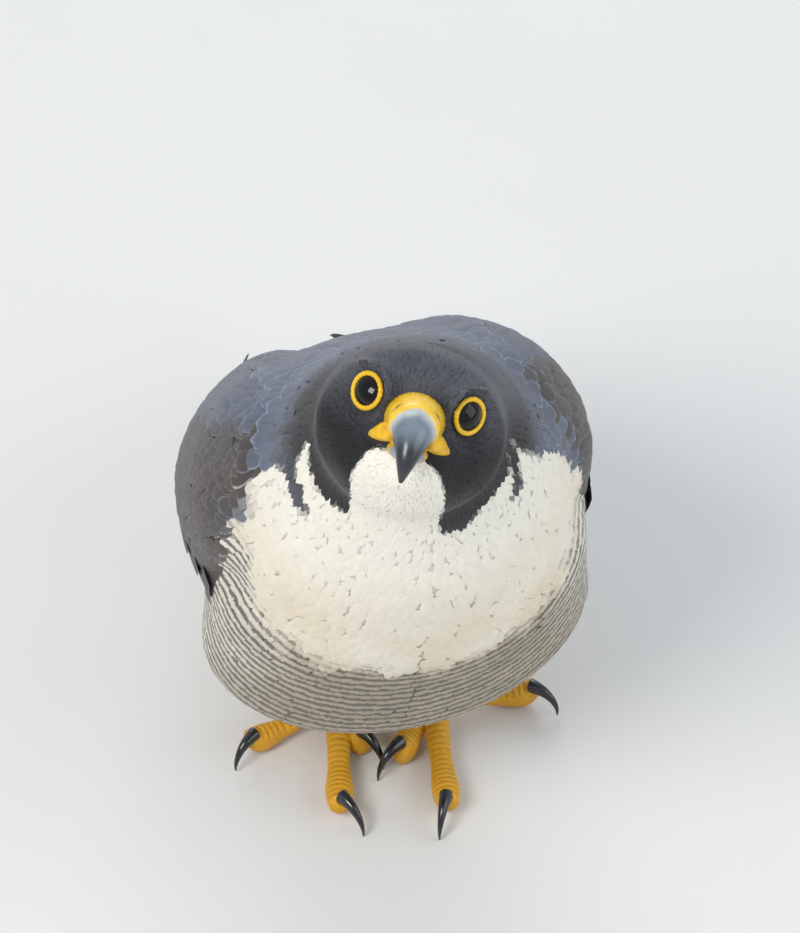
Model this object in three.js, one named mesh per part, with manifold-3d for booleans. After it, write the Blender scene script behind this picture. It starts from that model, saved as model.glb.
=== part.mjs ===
// A life-size adult peregrine falcon, standing with folded wings, its body sloping and its head raised
// and turned to look up past its right shoulder.
// Lengths are in millimetres. The bird faces -Y, its left side is +X, +Z is up and its soles rest on z = 0.
// "Fore" is the distance forward of the feet, so it is minus Y before the whole bird is shifted.
import * as THREE from "three";
import { mergeVertices } from "three/addons/utils/BufferGeometryUtils.js";
import Module from "manifold-3d";

const wasm = await Module();
wasm.setup();

// Driving sizes
const GAP = 0.35; // left between touching pieces
const BOX_SHIFT = -4; // moves the bird along Y so that its box is centred on the origin
const TAIL_CUT = 0.115; // share of the trunk's stations where the tail starts
const NECK_CUT = 0.735; // where the neck starts
const SIDES = 24; // facets round the trunk

// The trunk's stations from the rump to the top of the neck: fore, height, sideways, half width, and half depth
// towards the back and towards the belly.
const TRUNK = [
  { f: -112, z: 52, w: 12, up: 7, down: 8 },
  { f: -95, z: 65, w: 24, up: 14, down: 17 },
  { f: -70, z: 83, w: 38, up: 22, down: 32 },
  { f: -38, z: 107, w: 49, up: 31, down: 48 },
  { f: -4, z: 132, w: 58, up: 40, down: 61 },
  { f: 30, z: 160, w: 63, up: 47, down: 70 },
  { f: 58, z: 188, w: 60, up: 48, down: 65 },
  { f: 80, z: 213, w: 53, up: 45, down: 49 },
  { f: 93, z: 236, w: 44, up: 40, down: 37 },
  { f: 102, z: 256, w: 36, up: 32, down: 29 },
  { f: 108, z: 274, w: 29, up: 24, down: 25 },
];
const ROLL = 5; // the body leans down to its right about this slope
const ROLL_AXIS = { from: { f: -95, z: 65 }, to: { f: 58, z: 188 } };

// The fluffed feathers of the lower belly and flanks, as the shape that wraps these squat balls.
const BELLY = [
  { f: 33, z: 94, across: 68, deep: 43 },
  { f: 54, z: 148, across: 64, deep: 47 },
  { f: -22, z: 108, across: 50, deep: 36 },
];

// The surface that a folded wing lies on, from the wrist to the wing tip, in the same terms.
const WING_BED = [
  { f: 86, z: 222, w: 50, up: 44, down: 46 },
  { f: 60, z: 190, w: 62, up: 51, down: 65 },
  { f: 30, z: 160, w: 65.5, up: 50.5, down: 71 },
  { f: -4, z: 132, w: 60.5, up: 43.5, down: 63 },
  { f: -38, z: 107, w: 51.5, up: 34.5, down: 50 },
  { f: -70, z: 83, w: 40, up: 26, down: 34 },
  { f: -100, z: 62, w: 29, up: 19.5, down: 20 },
  { f: -128, z: 43, w: 21.5, up: 15.5, down: 12 },
  { f: -156, z: 24, w: 15, up: 11.5, down: 8 },
];
// Angle from the middle of the back to the wing's upper and lower edges at each of those stations, in degrees.
const WING_EDGES = [
  [44, 84],
  [32, 104],
  [22, 114],
  [16, 112],
  [13, 107],
  [12, 101],
  [12, 97],
  [13, 94],
  [15, 92],
];

// The head, about a point between the eyes, as sections from the nape to the face.
const HEAD_AT = { f: 114, z: 282, x: -2.8 };
const HEAD_TURN = -12; // towards the bird's right
const HEAD_RAISE = 35;
const HEAD_TILT = 13;
const HEAD_SECTIONS = [
  { a: -31, z: -6, w: 6, up: 7, down: 8 },
  { a: -26, z: -6, w: 19, up: 15.5, down: 17 },
  { a: -16, z: -7, w: 28, up: 23, down: 25 },
  { a: -4, z: -8, w: 31, up: 26.5, down: 29 },
  { a: 7, z: -8, w: 29.5, up: 26, down: 29 },
  { a: 15, z: -8, w: 24, up: 22.5, down: 25 },
  { a: 21, z: -7, w: 17, up: 17.5, down: 18 },
  { a: 25.5, z: -5, w: 11, up: 12.5, down: 12.5 },
  { a: 28, z: -4, w: 7, up: 9, down: 8 },
];
const HEAD_SIDES = 20;

const EYE = { radius: 7.4, ringRadius: 5.9, ringThick: 1.15, x: 16, a: 16.8, z: 3, outward: 40, upward: 5 };
const NOSTRIL = { radius: 1.2, depth: 3.2, x: 6, a: 30.8, z: 1.4 };

// The upper half of the beak along its bent middle line, and the lower half under it.
const UPPER_BILL = [
  { a: 20, z: -1.5, w: 9.2, up: 8, down: 9.4 },
  { a: 26, z: -0.8, w: 8, up: 7.6, down: 9.2 },
  { a: 31.5, z: -1.2, w: 7.2, up: 6.8, down: 8.4 },
  { a: 36, z: -3, w: 6, up: 5.6, down: 7 },
  { a: 39.4, z: -6.4, w: 4.4, up: 4.2, down: 5.4 },
  { a: 41.2, z: -11.2, w: 2.7, up: 2.6, down: 3.4 },
  { a: 40.6, z: -16.8, w: 0.6, up: 0.5, down: 0.6 },
];
const LOWER_BILL = [
  { a: 18, z: -9.5, w: 8.6, up: 4, down: 3.5 },
  { a: 25, z: -9.8, w: 7.2, up: 4.2, down: 3.5 },
  { a: 31, z: -9.8, w: 5.8, up: 3.6, down: 3 },
  { a: 35.5, z: -9.4, w: 3.6, up: 2.2, down: 2.2 },
  { a: 37.4, z: -9, w: 1.6, up: 1, down: 1 },
];
const MOUTH_Z = -7.6; // height of the line of the mouth in the head's frame
const HOOK_FROM = 38; // where the hooked tip comes down in front of the lower half
const CERE_FRONT = 34.5; // where the waxy cere gives way to horn at the top of the beak
const CERE_SLANT = 0.35; // how far that edge leans back below

// Legs. Each toe has its heading, from straight ahead towards the bird's left in degrees, how far its claw
// turns from that, and its length as a share of the full one.
const FEET = {
  right: { x: -9.5, f: -2.6, toes: { middle: [-9, 38], outer: [-67, 20], inner: [14, 16, 0.76], hind: [168, 0] } },
  left: { x: 23.5, f: 2.6, toes: { middle: [-4, -18], outer: [84, -34], inner: [-34, -18], hind: [-155, 0] } },
};
const TOES = {
  middle: { length: 50, thick: 1, claw: 9.4 },
  outer: { length: 37, thick: 0.86, claw: 8.6 },
  inner: { length: 28, thick: 0.98, claw: 9.6 },
  hind: { length: 23, thick: 0.95, claw: 9.8 },
};
const ANKLE = { f: -28, z: 54, spread: 9 }; // behind and outward of the foot
const KNEE = { f: 20, z: 84, x: 30 };

// Feathers
const VANE = 0.75; // thickness of one vane
const STEP = 1.15; // height of one tier of vanes over the next

const COLOURS = {
  slate: [0x4b4f5a, 0.7],
  crown: [0x35343a, 0.75],
  cream: [0xe9e3d2, 0.85],
  barred: [0xa8a091, 0.85],
  yellow: [0xe8b21c, 0.55],
  horn: [0x6e7480, 0.35],
  claw: [0x23252b, 0.3],
  eye: [0x0d0b0c, 0.08],
};

const X_AXIS = new THREE.Vector3(1, 0, 0);
const radians = THREE.MathUtils.degToRad;
const mix = THREE.MathUtils.lerp;

function place(fore, height, side = 0) {
  return new THREE.Vector3(side, -fore, height);
}

// Solids

// A closed solid from points and triangles, turned so that its faces point outwards.
function solidOf(points, triangles) {
  const vertProperties = new Float32Array(points.flatMap((p) => [p.x, p.y, p.z]));
  let volume = 0;
  for (const [a, b, c] of triangles) volume += points[a].dot(points[b].clone().cross(points[c]));
  const flat = triangles.flatMap(([a, b, c]) => (volume < 0 ? [a, c, b] : [a, b, c]));
  return new wasm.Manifold(new wasm.Mesh({ numProp: 3, vertProperties, triVerts: new Uint32Array(flat) }));
}

// A three.js geometry as a solid.
function solidOfGeometry(geometry) {
  const bare = new THREE.BufferGeometry().setIndex(geometry.index);
  bare.setAttribute("position", geometry.getAttribute("position"));
  const merged = mergeVertices(bare, 1e-4);
  const at = merged.getAttribute("position");
  const points = Array.from({ length: at.count }, (_, i) => new THREE.Vector3().fromBufferAttribute(at, i));
  const index = merged.index.array;
  const triangles = [];
  for (let i = 0; i < index.length; i += 3) {
    const corners = [index[i], index[i + 1], index[i + 2]];
    if (new Set(corners).size === 3) triangles.push(corners);
  }
  return solidOf(points, triangles);
}

// A skin stretched over rings of equal count and capped at both ends. Quads listed in crossed are split the other way.
function loft(rings, crossed = []) {
  const count = rings[0].length;
  const points = rings.flat();
  const triangles = [];
  for (let i = 0; i + 1 < rings.length; i++) {
    for (let j = 0; j < count; j++) {
      const k = (j + 1) % count;
      const [a, b, c, d] = [i * count + j, i * count + k, (i + 1) * count + k, (i + 1) * count + j];
      if (crossed.includes(j)) triangles.push([a, b, d], [b, c, d]);
      else triangles.push([a, b, c], [a, c, d]);
    }
  }
  const last = (rings.length - 1) * count;
  for (let j = 1; j + 1 < count; j++) triangles.push([0, j + 1, j], [last, last + j, last + j + 1]);
  return solidOf(points, triangles);
}

function largest(solid) {
  return solid.simplify(0.12).decompose().reduce((best, one) => (one.volume() > best.volume() ? one : best));
}

function joined(solids) {
  return largest(wasm.Manifold.union(solids));
}

// The part of a solid on the far side of a plane through a point.
function beyond(solid, normal, point, inset = 0) {
  const n = normal.clone().normalize();
  return solid.trimByPlane([n.x, n.y, n.z], n.dot(point) + inset);
}

function moved(solid, matrix) {
  return solid.transform(matrix.elements);
}

// Stations joined by smooth curves: the centre, the way forward, the way to the back and the three radii at a share t.
class Trunk {
  constructor(stations) {
    this.path = new THREE.CatmullRomCurve3(stations.map((s) => place(s.f, s.z, s.x ?? 0)));
    this.sizes = new THREE.CatmullRomCurve3(stations.map((s) => new THREE.Vector3(s.w, s.up, s.down)));
  }

  at(t) {
    const inside = THREE.MathUtils.clamp(t, 0, 1);
    const centre = this.path.getPoint(inside);
    const along = this.path.getTangent(inside).setX(0).normalize();
    if (along.y > 0) along.negate();
    const size = this.sizes.getPoint(inside);
    return { centre, along, back: along.clone().cross(X_AXIS), w: size.x, up: size.y, down: size.z };
  }

  // The point on the skin at an angle from the middle of the back, lifted off it by a distance.
  skin(t, angle, lift = 0) {
    const { centre, back, w, up, down } = this.at(t);
    const [s, c] = [Math.sin(angle), Math.cos(angle)];
    return centre
      .addScaledVector(X_AXIS, (w + lift) * s)
      .addScaledVector(back, ((c > 0 ? up : down) + lift) * c);
  }

  ring(t, lift, sides) {
    return Array.from({ length: sides }, (_, i) => this.skin(t, (2 * Math.PI * i) / sides, lift));
  }

  solid(lift, steps, sides) {
    return loft(Array.from({ length: steps + 1 }, (_, i) => this.ring(i / steps, lift, sides)));
  }
}

// A round bar of changing size along a list of points, flattened by a different radius up and down.
function bar(stations, sides, lift = 0, steps = stations.length - 1) {
  const path = new THREE.CatmullRomCurve3(stations.map((s) => s.p));
  const sizes = new THREE.CatmullRomCurve3(stations.map((s) => new THREE.Vector3(s.w, s.up, s.down)));
  const across = stations[0].across ?? X_AXIS;
  const rings = [];
  for (let i = 0; i <= steps; i++) {
    const [centre, along, size] = [path.getPoint(i / steps), path.getTangent(i / steps), sizes.getPoint(i / steps)];
    const up = across.clone().cross(along).normalize();
    const side = along.clone().cross(up).normalize();
    const end = i === 0 ? -lift : i === steps ? lift : 0;
    rings.push(
      Array.from({ length: sides }, (_, j) => {
        const angle = (2 * Math.PI * j) / sides;
        const high = Math.cos(angle);
        return centre
          .clone()
          .addScaledVector(along, end)
          .addScaledVector(side, (size.x + lift) * Math.sin(angle))
          .addScaledVector(up, ((high > 0 ? size.y : size.z) + lift) * high);
      }),
    );
  }
  return loft(rings);
}

// Trunk, neck and head

const trunk = new Trunk(TRUNK);

// The lean of the body, as a turn about the line of its back.
function leaning(solid) {
  const from = place(ROLL_AXIS.from.f, ROLL_AXIS.from.z);
  const axis = place(ROLL_AXIS.to.f, ROLL_AXIS.to.z).sub(from).normalize();
  const there = new THREE.Matrix4().makeTranslation(from.x, from.y, from.z);
  const turn = new THREE.Matrix4().makeRotationAxis(axis, radians(ROLL));
  return moved(solid, there.clone().multiply(turn).multiply(there.clone().invert()));
}

function trunkWith(lift) {
  const balls = BELLY.map(({ f, z, across, deep }) => {
    const ball = new THREE.SphereGeometry(1, 18, 14);
    ball.rotateZ(Math.PI / 2);
    ball.scale(across + lift, deep + lift, deep + lift);
    const centre = place(f, z);
    return solidOfGeometry(ball).translate([centre.x, centre.y, centre.z]);
  });
  return trunk.solid(lift, 20, SIDES).add(wasm.Manifold.hull(balls));
}

const trunkSolid = trunkWith(0);
const trunkRoom = trunkWith(GAP);
const leaningRoom = leaning(trunkRoom);

const headMatrix = new THREE.Matrix4().compose(
  place(HEAD_AT.f, HEAD_AT.z, HEAD_AT.x),
  new THREE.Quaternion().setFromEuler(
    new THREE.Euler(-radians(HEAD_RAISE), radians(HEAD_TILT), radians(HEAD_TURN), "ZXY"),
  ),
  new THREE.Vector3(1, 1, 1),
);

function headSections(sections, sides, lift = 0, steps = 12) {
  const across = X_AXIS.clone().negate();
  const stations = sections.map((s) => ({ p: place(s.a, s.z), w: s.w, up: s.up, down: s.down, across }));
  return bar(stations, sides, lift, steps);
}

// The way an eye looks, on the side given as 1 or -1.
function gaze(side) {
  const [out, up] = [radians(EYE.outward), radians(EYE.upward)];
  return new THREE.Vector3(side * Math.sin(out) * Math.cos(up), -Math.cos(out) * Math.cos(up), Math.sin(up));
}

function eyeCentre(side) {
  const sunk = Math.sqrt(EYE.radius ** 2 - (EYE.ringRadius - EYE.ringThick / 2) ** 2);
  return place(EYE.a, EYE.z, side * EYE.x).addScaledVector(gaze(side), -sunk);
}

function eyeBall(side, lift = 0) {
  const c = eyeCentre(side);
  return solidOfGeometry(new THREE.SphereGeometry(EYE.radius + lift, 14, 9)).translate([c.x, c.y, c.z]);
}

function eyeRing(side, lift = 0) {
  const ring = new THREE.TorusGeometry(EYE.ringRadius, EYE.ringThick + lift, 6, 16);
  const turn = new THREE.Quaternion().setFromUnitVectors(new THREE.Vector3(0, 0, 1), gaze(side));
  const centre = place(EYE.a, EYE.z, side * EYE.x);
  return moved(solidOfGeometry(ring), new THREE.Matrix4().compose(centre, turn, new THREE.Vector3(1, 1, 1)));
}

// The room under the line of the mouth and behind the hooked tip, as a broad block.
function underMouth(lift = 0) {
  const size = 120;
  const box = solidOfGeometry(new THREE.BoxGeometry(size, size, size));
  return box.translate([0, size / 2 - HOOK_FROM - lift, MOUTH_Z - size / 2 + lift]);
}

function nostril(side) {
  const hole = solidOfGeometry(new THREE.CylinderGeometry(NOSTRIL.radius, NOSTRIL.radius, NOSTRIL.depth * 2, 10));
  const centre = place(NOSTRIL.a, NOSTRIL.z, side * NOSTRIL.x);
  const outward = new THREE.Vector3(side * 0.85, -0.35, 0.4).normalize();
  const turn = new THREE.Quaternion().setFromUnitVectors(new THREE.Vector3(0, 1, 0), outward);
  return moved(hole, new THREE.Matrix4().compose(centre, turn, new THREE.Vector3(1, 1, 1)));
}

function headPieces() {
  const upper = headSections(UPPER_BILL, 14, 0, 11).subtract(underMouth());
  const upperRoom = headSections(UPPER_BILL, 14, GAP, 11);
  const lower = headSections(LOWER_BILL, 12, 0, 6).intersect(underMouth(-GAP));
  const lowerRoom = headSections(LOWER_BILL, 12, GAP, 6);
  const edge = new THREE.Vector3(0, 1, -CERE_SLANT).normalize();
  const edgePoint = place(CERE_FRONT, 5);
  const horn = largest(beyond(upper, edge.clone().negate(), edgePoint, GAP / 2));
  const holes = [1, -1].flatMap((side) => [nostril(side), eyeBall(side, GAP)]);
  const cere = largest(beyond(upper, edge, edgePoint, GAP / 2).subtract(wasm.Manifold.union(holes)));
  const beak = upperRoom.add(lowerRoom);
  const pieces = { horn, cere, lower: largest(lower) };
  let skull = headSections(HEAD_SECTIONS, HEAD_SIDES, 0, 12);
  for (const [name, side] of [["left", 1], ["right", -1]]) {
    pieces[`ring_${name}`] = largest(eyeRing(side).subtract(eyeBall(side, GAP)).subtract(beak));
    pieces[`eye_${name}`] = eyeBall(side);
    skull = skull.subtract(eyeBall(side, GAP)).subtract(eyeRing(side, GAP));
  }
  const face = skull;
  skull = largest(skull.subtract(beak));
  // The beak's back end is trimmed to the face, so that it starts at the feathers' edge and not deep in the skull.
  pieces.skull = skull;
  pieces.face = face;
  return pieces;
}

const head = headPieces();
const headRoom = moved(headSections(HEAD_SECTIONS, HEAD_SIDES, GAP, 12), headMatrix);

function neckPieces() {
  const { centre, along } = trunk.at(NECK_CUT);
  const torso = beyond(trunkSolid, along.clone().negate(), centre, GAP / 2);
  const tailFrame = trunk.at(TAIL_CUT);
  return {
    torso: largest(leaning(beyond(torso, tailFrame.along, tailFrame.centre, GAP / 2))),
    neck: largest(leaning(beyond(trunkSolid, along, centre, GAP / 2)).subtract(headRoom)),
    coverts: beyond(trunkSolid, tailFrame.along.clone().negate(), tailFrame.centre, GAP / 2),
  };
}

// Feathers

// How wide a vane is along its length, as a share: narrow at the root and rounded at the tip.
function vaneWidth(share, pointed) {
  const body = mix(0.55, 1, Math.min(1, share * 2.2));
  const tip = share < 0.6 ? 1 : Math.sqrt(Math.max(0, 1 - ((share - 0.6) / 0.42) ** (pointed ? 1.4 : 2.4)));
  return body * tip;
}

// One vane from frames along it: each has its centre, the way across, the way out, and how far each edge is lifted.
function vane(frames, halfWidth, pointed = false, thick = VANE) {
  const rings = frames.map(({ point, tilt }, i) => {
    const share = i / (frames.length - 1);
    const half = halfWidth * vaneWidth(share, pointed);
    const thickness = thick * (share > 0.9 ? 0.7 : 1);
    const edges = [-half, half].map((across) => ({ across, lift: across * tilt }));
    const top = edges.map((e) => point(e.across, e.lift + thickness / 2));
    const bottom = edges.map((e) => point(e.across, e.lift - thickness / 2)).reverse();
    return [...top, ...bottom];
  });
  return loft(rings, [2]);
}

const wingBed = new Trunk(WING_BED);

function wingAngle(t, across) {
  const at = t * (WING_EDGES.length - 1);
  const i = Math.min(WING_EDGES.length - 2, Math.floor(at));
  const [upper, lower] = [0, 1].map((e) => mix(WING_EDGES[i][e], WING_EDGES[i + 1][e], at - i));
  return radians(mix(upper, lower, across));
}

// A vane laid on the wing's bed, from one (share along, share across) to another, lifted by lift0 to lift1.
function wingVane({ from, to, half, lift0, lift1, steps = 4, pointed = false, tilt = 0.09 }) {
  const frames = Array.from({ length: steps + 1 }, (_, i) => {
    const s = i / steps;
    const t = mix(from[0], to[0], s);
    const angle = wingAngle(t, mix(from[1], to[1], s));
    const lift = mix(lift0, lift1, s);
    const girth = wingBed.skin(t, angle + 0.02).distanceTo(wingBed.skin(t, angle - 0.02)) / 0.04;
    return { tilt, point: (across, more) => wingBed.skin(t, angle + across / girth, lift + more) };
  });
  return vane(frames, half, pointed);
}

// The fleshy fore part of the folded wing: a plate that thins towards the feathers.
const ARM_END = 0.56;
function armThickness(t) {
  return mix(7, 1.6, Math.min(1, t / ARM_END) ** 0.8);
}

function wingArm() {
  const [rows, columns] = [9, 7];
  const rings = Array.from({ length: rows }, (_, i) => {
    const share = i / (rows - 1);
    const t = mix(0.004, ARM_END, share);
    const round = Math.min(1, 0.35 + share * 4);
    const across = Array.from({ length: columns }, (_, j) => mix(0.03, 0.97, j / (columns - 1)));
    const outer = across.map((v) => {
      const swell = Math.sqrt(Math.max(0.02, 1 - (2 * v - 1) ** 4));
      return wingBed.skin(t, wingAngle(t, v), armThickness(t) * round * swell);
    });
    const inner = across.map((v) => wingBed.skin(t, wingAngle(t, v), -3)).reverse();
    return [...outer, ...inner];
  });
  return loft(rings);
}

// A tier of vanes side by side, from the lower edge to the upper one.
function tier({ count, root, tip, across, half, lift0, lift1, steps, pointed, tilt }) {
  return Array.from({ length: count }, (_, i) => {
    const s = count === 1 ? 0 : i / (count - 1);
    const v = mix(across[0], across[1], s);
    return wingVane({
      from: [mix(root[0], root[1], s), v],
      to: [mix(tip[0], tip[1], s), mix(v, across[2] ?? v, 0.35)],
      half: mix(half[0], half[1], s),
      lift0,
      lift1,
      steps,
      pointed,
      tilt,
    });
  });
}

function wingSolid() {
  const primaries = tier({
    count: 7, root: [0.5, 0.48], tip: [0.995, 0.7], across: [0.84, 0.36, 0.62], half: [8, 9.5],
    lift0: 0.6, lift1: 1.2, steps: 4, pointed: true, tilt: 0.1,
  });
  const secondaries = tier({
    count: 7, root: [0.42, 0.4], tip: [0.62, 0.68], across: [0.86, 0.14], half: [9.5, 10],
    lift0: 0.8, lift1: 2.4, steps: 3, tilt: 0.1,
  });
  const greaterCoverts = tier({
    count: 7, root: [0.26, 0.25], tip: [0.46, 0.48], across: [0.88, 0.1], half: [10, 10],
    lift0: 1.8, lift1: 3.6, steps: 3, tilt: 0.1,
  });
  const medianCoverts = tier({
    count: 7, root: [0.14, 0.12], tip: [0.31, 0.32], across: [0.88, 0.1], half: [10, 10],
    lift0: 2.9, lift1: 4.9, steps: 3, tilt: 0.1,
  });
  return joined([wingArm(), ...primaries, ...secondaries, ...greaterCoverts, ...medianCoverts]);
}

// The tail: twelve feathers, the middle pair on top, rooted in the coverts behind the rump.
const TAIL = { root: place(-82, 77), tip: place(-165, 10), count: 6, half: [8, 8.5], spread: [1.2, 2.1] };

function tailSolid(coverts) {
  const along = TAIL.tip.clone().sub(TAIL.root);
  const out = X_AXIS.clone().cross(along).normalize().negate();
  const vanes = [];
  for (let k = 0; k < TAIL.count; k++) {
    for (const side of [1, -1]) {
      const drop = k === 0 && side === 1 ? 0 : (k + 1) * STEP;
      const length = 1 - 0.012 * k;
      const frames = Array.from({ length: 4 }, (_, i) => {
        const s = i / 3;
        const x = side * mix(TAIL.spread[0], TAIL.spread[1], s) * (k + 0.5);
        const centre = TAIL.root.clone().addScaledVector(along, s * length).addScaledVector(out, 3 - drop * mix(0.6, 1, s));
        return {
          tilt: -side * 0.04,
          point: (across, lift) => centre.clone().add(new THREE.Vector3(x + across, 0, 0)).addScaledVector(out, lift),
        };
      });
      vanes.push(vane(frames, TAIL.half[1]));
    }
  }
  const { along: way, centre: cut } = trunk.at(TAIL_CUT);
  return joined([coverts, ...vanes.map((one) => beyond(one, way.clone().negate(), cut, GAP / 2))]);
}

// Legs

// A toe runs over its knuckles from the foot to the root of its claw, in its own frame with +X along the toe.
function toeBar(spec, lift = 0) {
  const { length, thick } = spec;
  const stations = [
    [-0.02, 11.5, 5.6, 4.6, 5],
    [0.2, 9.4, 4.6, 4, 4.6],
    [0.42, 7.4, 4.1, 3.7, 5],
    [0.62, 6.6, 3.9, 3.6, 6.2],
    [0.84, 7.4, 4.9, 4.4, 8.7],
    [1, 9.4, 3.9, 3.3, 4.4],
  ].map(([s, z, w, up, down]) => ({
    p: new THREE.Vector3(s * length, 0, z),
    w: w * thick,
    up: up * thick,
    down: down * thick,
    across: new THREE.Vector3(0, -1, 0),
  }));
  return bar(stations, 8, lift, 7);
}

// A claw is a tapering hook that starts level with the toe and ends pointing down and back.
function clawBar(spec, lift = 0) {
  const [start, end] = [radians(12), radians(-98)];
  const steps = 6;
  const stations = [];
  let point = new THREE.Vector3(spec.length - 1.5, 0, 10.6);
  const stride = (spec.claw * (start - end)) / steps;
  for (let i = 0; i <= steps; i++) {
    const share = i / steps;
    const angle = mix(start, end, share);
    const radius = mix(3.1, 0.5, share ** 0.85);
    stations.push({ p: point.clone(), w: radius * 0.85, up: radius, down: radius, across: new THREE.Vector3(0, -1, 0) });
    point.add(new THREE.Vector3(Math.cos(angle) * stride, 0, Math.sin(angle) * stride));
  }
  return bar(stations, 7, lift);
}

function toeMatrix(foot, heading) {
  return new THREE.Matrix4().makeRotationZ(radians(heading - 90)).setPosition(foot.x, -foot.f, 0);
}

// A turn of the claw about its root, in the toe's own frame.
function clawTurn(spec, turn) {
  const root = new THREE.Matrix4().makeTranslation(spec.length - 3, 0, 0);
  return root.clone().multiply(new THREE.Matrix4().makeRotationZ(radians(turn))).multiply(root.clone().invert());
}

function floorTrim(solid) {
  return solid.trimByPlane([0, 0, 1], 0);
}

function legPieces(name, sideSign) {
  const foot = FEET[name];
  const hip = place(foot.f + ANKLE.f, ANKLE.z, foot.x + sideSign * ANKLE.spread);
  const sole = place(foot.f + 1, 9, foot.x);
  const shank = [0, 0.35, 0.75, 1, 1.1].map((s, i) => ({
    p: hip.clone().lerp(sole, s),
    w: [6.2, 4.6, 5.2, 7.6, 6.5][i],
    up: [6, 4.4, 5, 7, 6][i],
    down: [6, 4.4, 5, 7, 6][i],
  }));
  const tarsus = (lift) => bar(shank, 10, lift, 6);
  const pieces = {};
  const roomy = tarsus(GAP);
  let taken = roomy;
  for (const [toe, full] of Object.entries(TOES)) {
    const [heading, turn, share = 1] = foot.toes[toe];
    const spec = { ...full, length: full.length * share };
    const matrix = toeMatrix(foot, heading);
    const clawMatrix = matrix.clone().multiply(clawTurn(spec, turn));
    const claw = floorTrim(moved(clawBar(spec), clawMatrix));
    const room = moved(clawBar(spec, GAP), clawMatrix).add(taken);
    const body = floorTrim(moved(toeBar(spec), matrix)).subtract(room);
    taken = taken.add(moved(toeBar(spec, GAP), matrix));
    pieces[`toe_${toe}_${name}`] = { solid: largest(body), colour: "yellow", group: "leg" };
    pieces[`claw_${toe}_${name}`] = { solid: claw, colour: "claw", group: "leg" };
  }
  pieces[`tarsus_${name}`] = { solid: floorTrim(tarsus(0)), colour: "yellow" };
  const knee = place(KNEE.f, KNEE.z, sideSign * KNEE.x);
  const thigh = [
    { p: knee.clone().add(place(8, 26, 0)), w: 20, up: 24, down: 24 },
    { p: knee, w: 24, up: 27, down: 27 },
    { p: knee.clone().lerp(hip, 0.45).add(place(2, -8)), w: 21, up: 23, down: 22 },
    { p: knee.clone().lerp(hip, 0.8).add(place(3, -7)), w: 14, up: 15, down: 13 },
    { p: hip.clone().add(place(5, -9)), w: 8, up: 8, down: 7 },
  ];
  const meat = bar(thigh, 14, 0, 8).subtract(leaningRoom).subtract(roomy);
  pieces[`thigh_${name}`] = { solid: largest(meat), colour: "barred" };
  return pieces;
}

// Assembly

function geometryOf(solid) {
  const mesh = solid.getMesh();
  const at = new Float32Array(mesh.numVert * 3);
  for (let i = 0; i < mesh.numVert; i++) at.set(mesh.vertProperties.subarray(i * mesh.numProp, i * mesh.numProp + 3), i * 3);
  const geometry = new THREE.BufferGeometry();
  geometry.setAttribute("position", new THREE.BufferAttribute(at, 3));
  geometry.setIndex(new THREE.BufferAttribute(mesh.triVerts, 1));
  geometry.computeVertexNormals();
  return geometry;
}

function piece(name, solid, colour) {
  const [shade, roughness] = COLOURS[colour];
  const material = new THREE.MeshStandardMaterial({ color: shade, roughness, metalness: 0, flatShading: true });
  const mesh = new THREE.Mesh(geometryOf(solid), material);
  mesh.name = name;
  return mesh;
}

const bird = new THREE.Group();
bird.position.y = BOX_SHIFT;

const body = neckPieces();
bird.add(piece("torso", body.torso, "barred"), piece("neck", body.neck, "cream"));
bird.add(piece("tail", leaning(tailSolid(body.coverts)), "slate"));

const headGroup = new THREE.Group();
headGroup.applyMatrix4(headMatrix);
headGroup.add(piece("head", head.skull, "crown"), piece("cere", head.cere, "yellow"));
headGroup.add(piece("upper_bill", head.horn, "horn"), piece("lower_bill", head.lower, "horn"));
for (const name of ["left", "right"]) {
  headGroup.add(piece(`eye_${name}`, head[`eye_${name}`], "eye"));
  headGroup.add(piece(`eye_ring_${name}`, head[`ring_${name}`], "yellow"));
}
bird.add(headGroup);

const wing = largest(wingSolid().subtract(trunkRoom));
for (const [name, sideSign] of [["left", 1], ["right", -1]]) {
  const own = sideSign === 1 ? wing : wing.mirror([1, 0, 0]);
  bird.add(piece(`wing_${name}`, largest(leaning(own)), "slate"));
  for (const [part, { solid, colour }] of Object.entries(legPieces(name, sideSign))) bird.add(piece(part, solid, colour));
}

export default bird;
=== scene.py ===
"""A life-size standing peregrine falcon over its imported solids: skin, plumage, wings, tail, head and feet.

Lengths in this file are millimetres until a mesh is made, which is in metres. "Fore" is the way the body
faces (-Y).
"""

from __future__ import annotations

import logging
import math
from collections.abc import Callable
from dataclasses import dataclass, field
from enum import Enum

import bmesh
import bpy
import numpy as np
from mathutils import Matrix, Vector
from mathutils.bvhtree import BVHTree
from mathutils.kdtree import KDTree

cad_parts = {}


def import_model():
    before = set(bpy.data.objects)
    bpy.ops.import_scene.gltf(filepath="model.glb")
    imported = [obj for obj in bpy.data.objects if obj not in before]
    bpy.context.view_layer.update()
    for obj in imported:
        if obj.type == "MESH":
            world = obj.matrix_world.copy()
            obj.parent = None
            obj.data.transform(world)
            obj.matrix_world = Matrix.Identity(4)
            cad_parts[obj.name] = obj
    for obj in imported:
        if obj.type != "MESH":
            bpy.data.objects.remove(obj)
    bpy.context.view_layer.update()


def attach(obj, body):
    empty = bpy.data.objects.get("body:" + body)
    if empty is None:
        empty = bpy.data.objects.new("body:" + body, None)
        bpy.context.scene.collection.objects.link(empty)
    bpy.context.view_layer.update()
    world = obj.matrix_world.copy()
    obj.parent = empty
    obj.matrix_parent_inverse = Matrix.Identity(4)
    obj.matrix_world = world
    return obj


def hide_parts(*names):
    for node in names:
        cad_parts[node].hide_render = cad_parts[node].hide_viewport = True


LOG = logging.getLogger("falcon")
MM = 0.001
BOX_SHIFT = -4.0
SEED = 20
Array = np.ndarray
Object = bpy.types.Object
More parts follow.
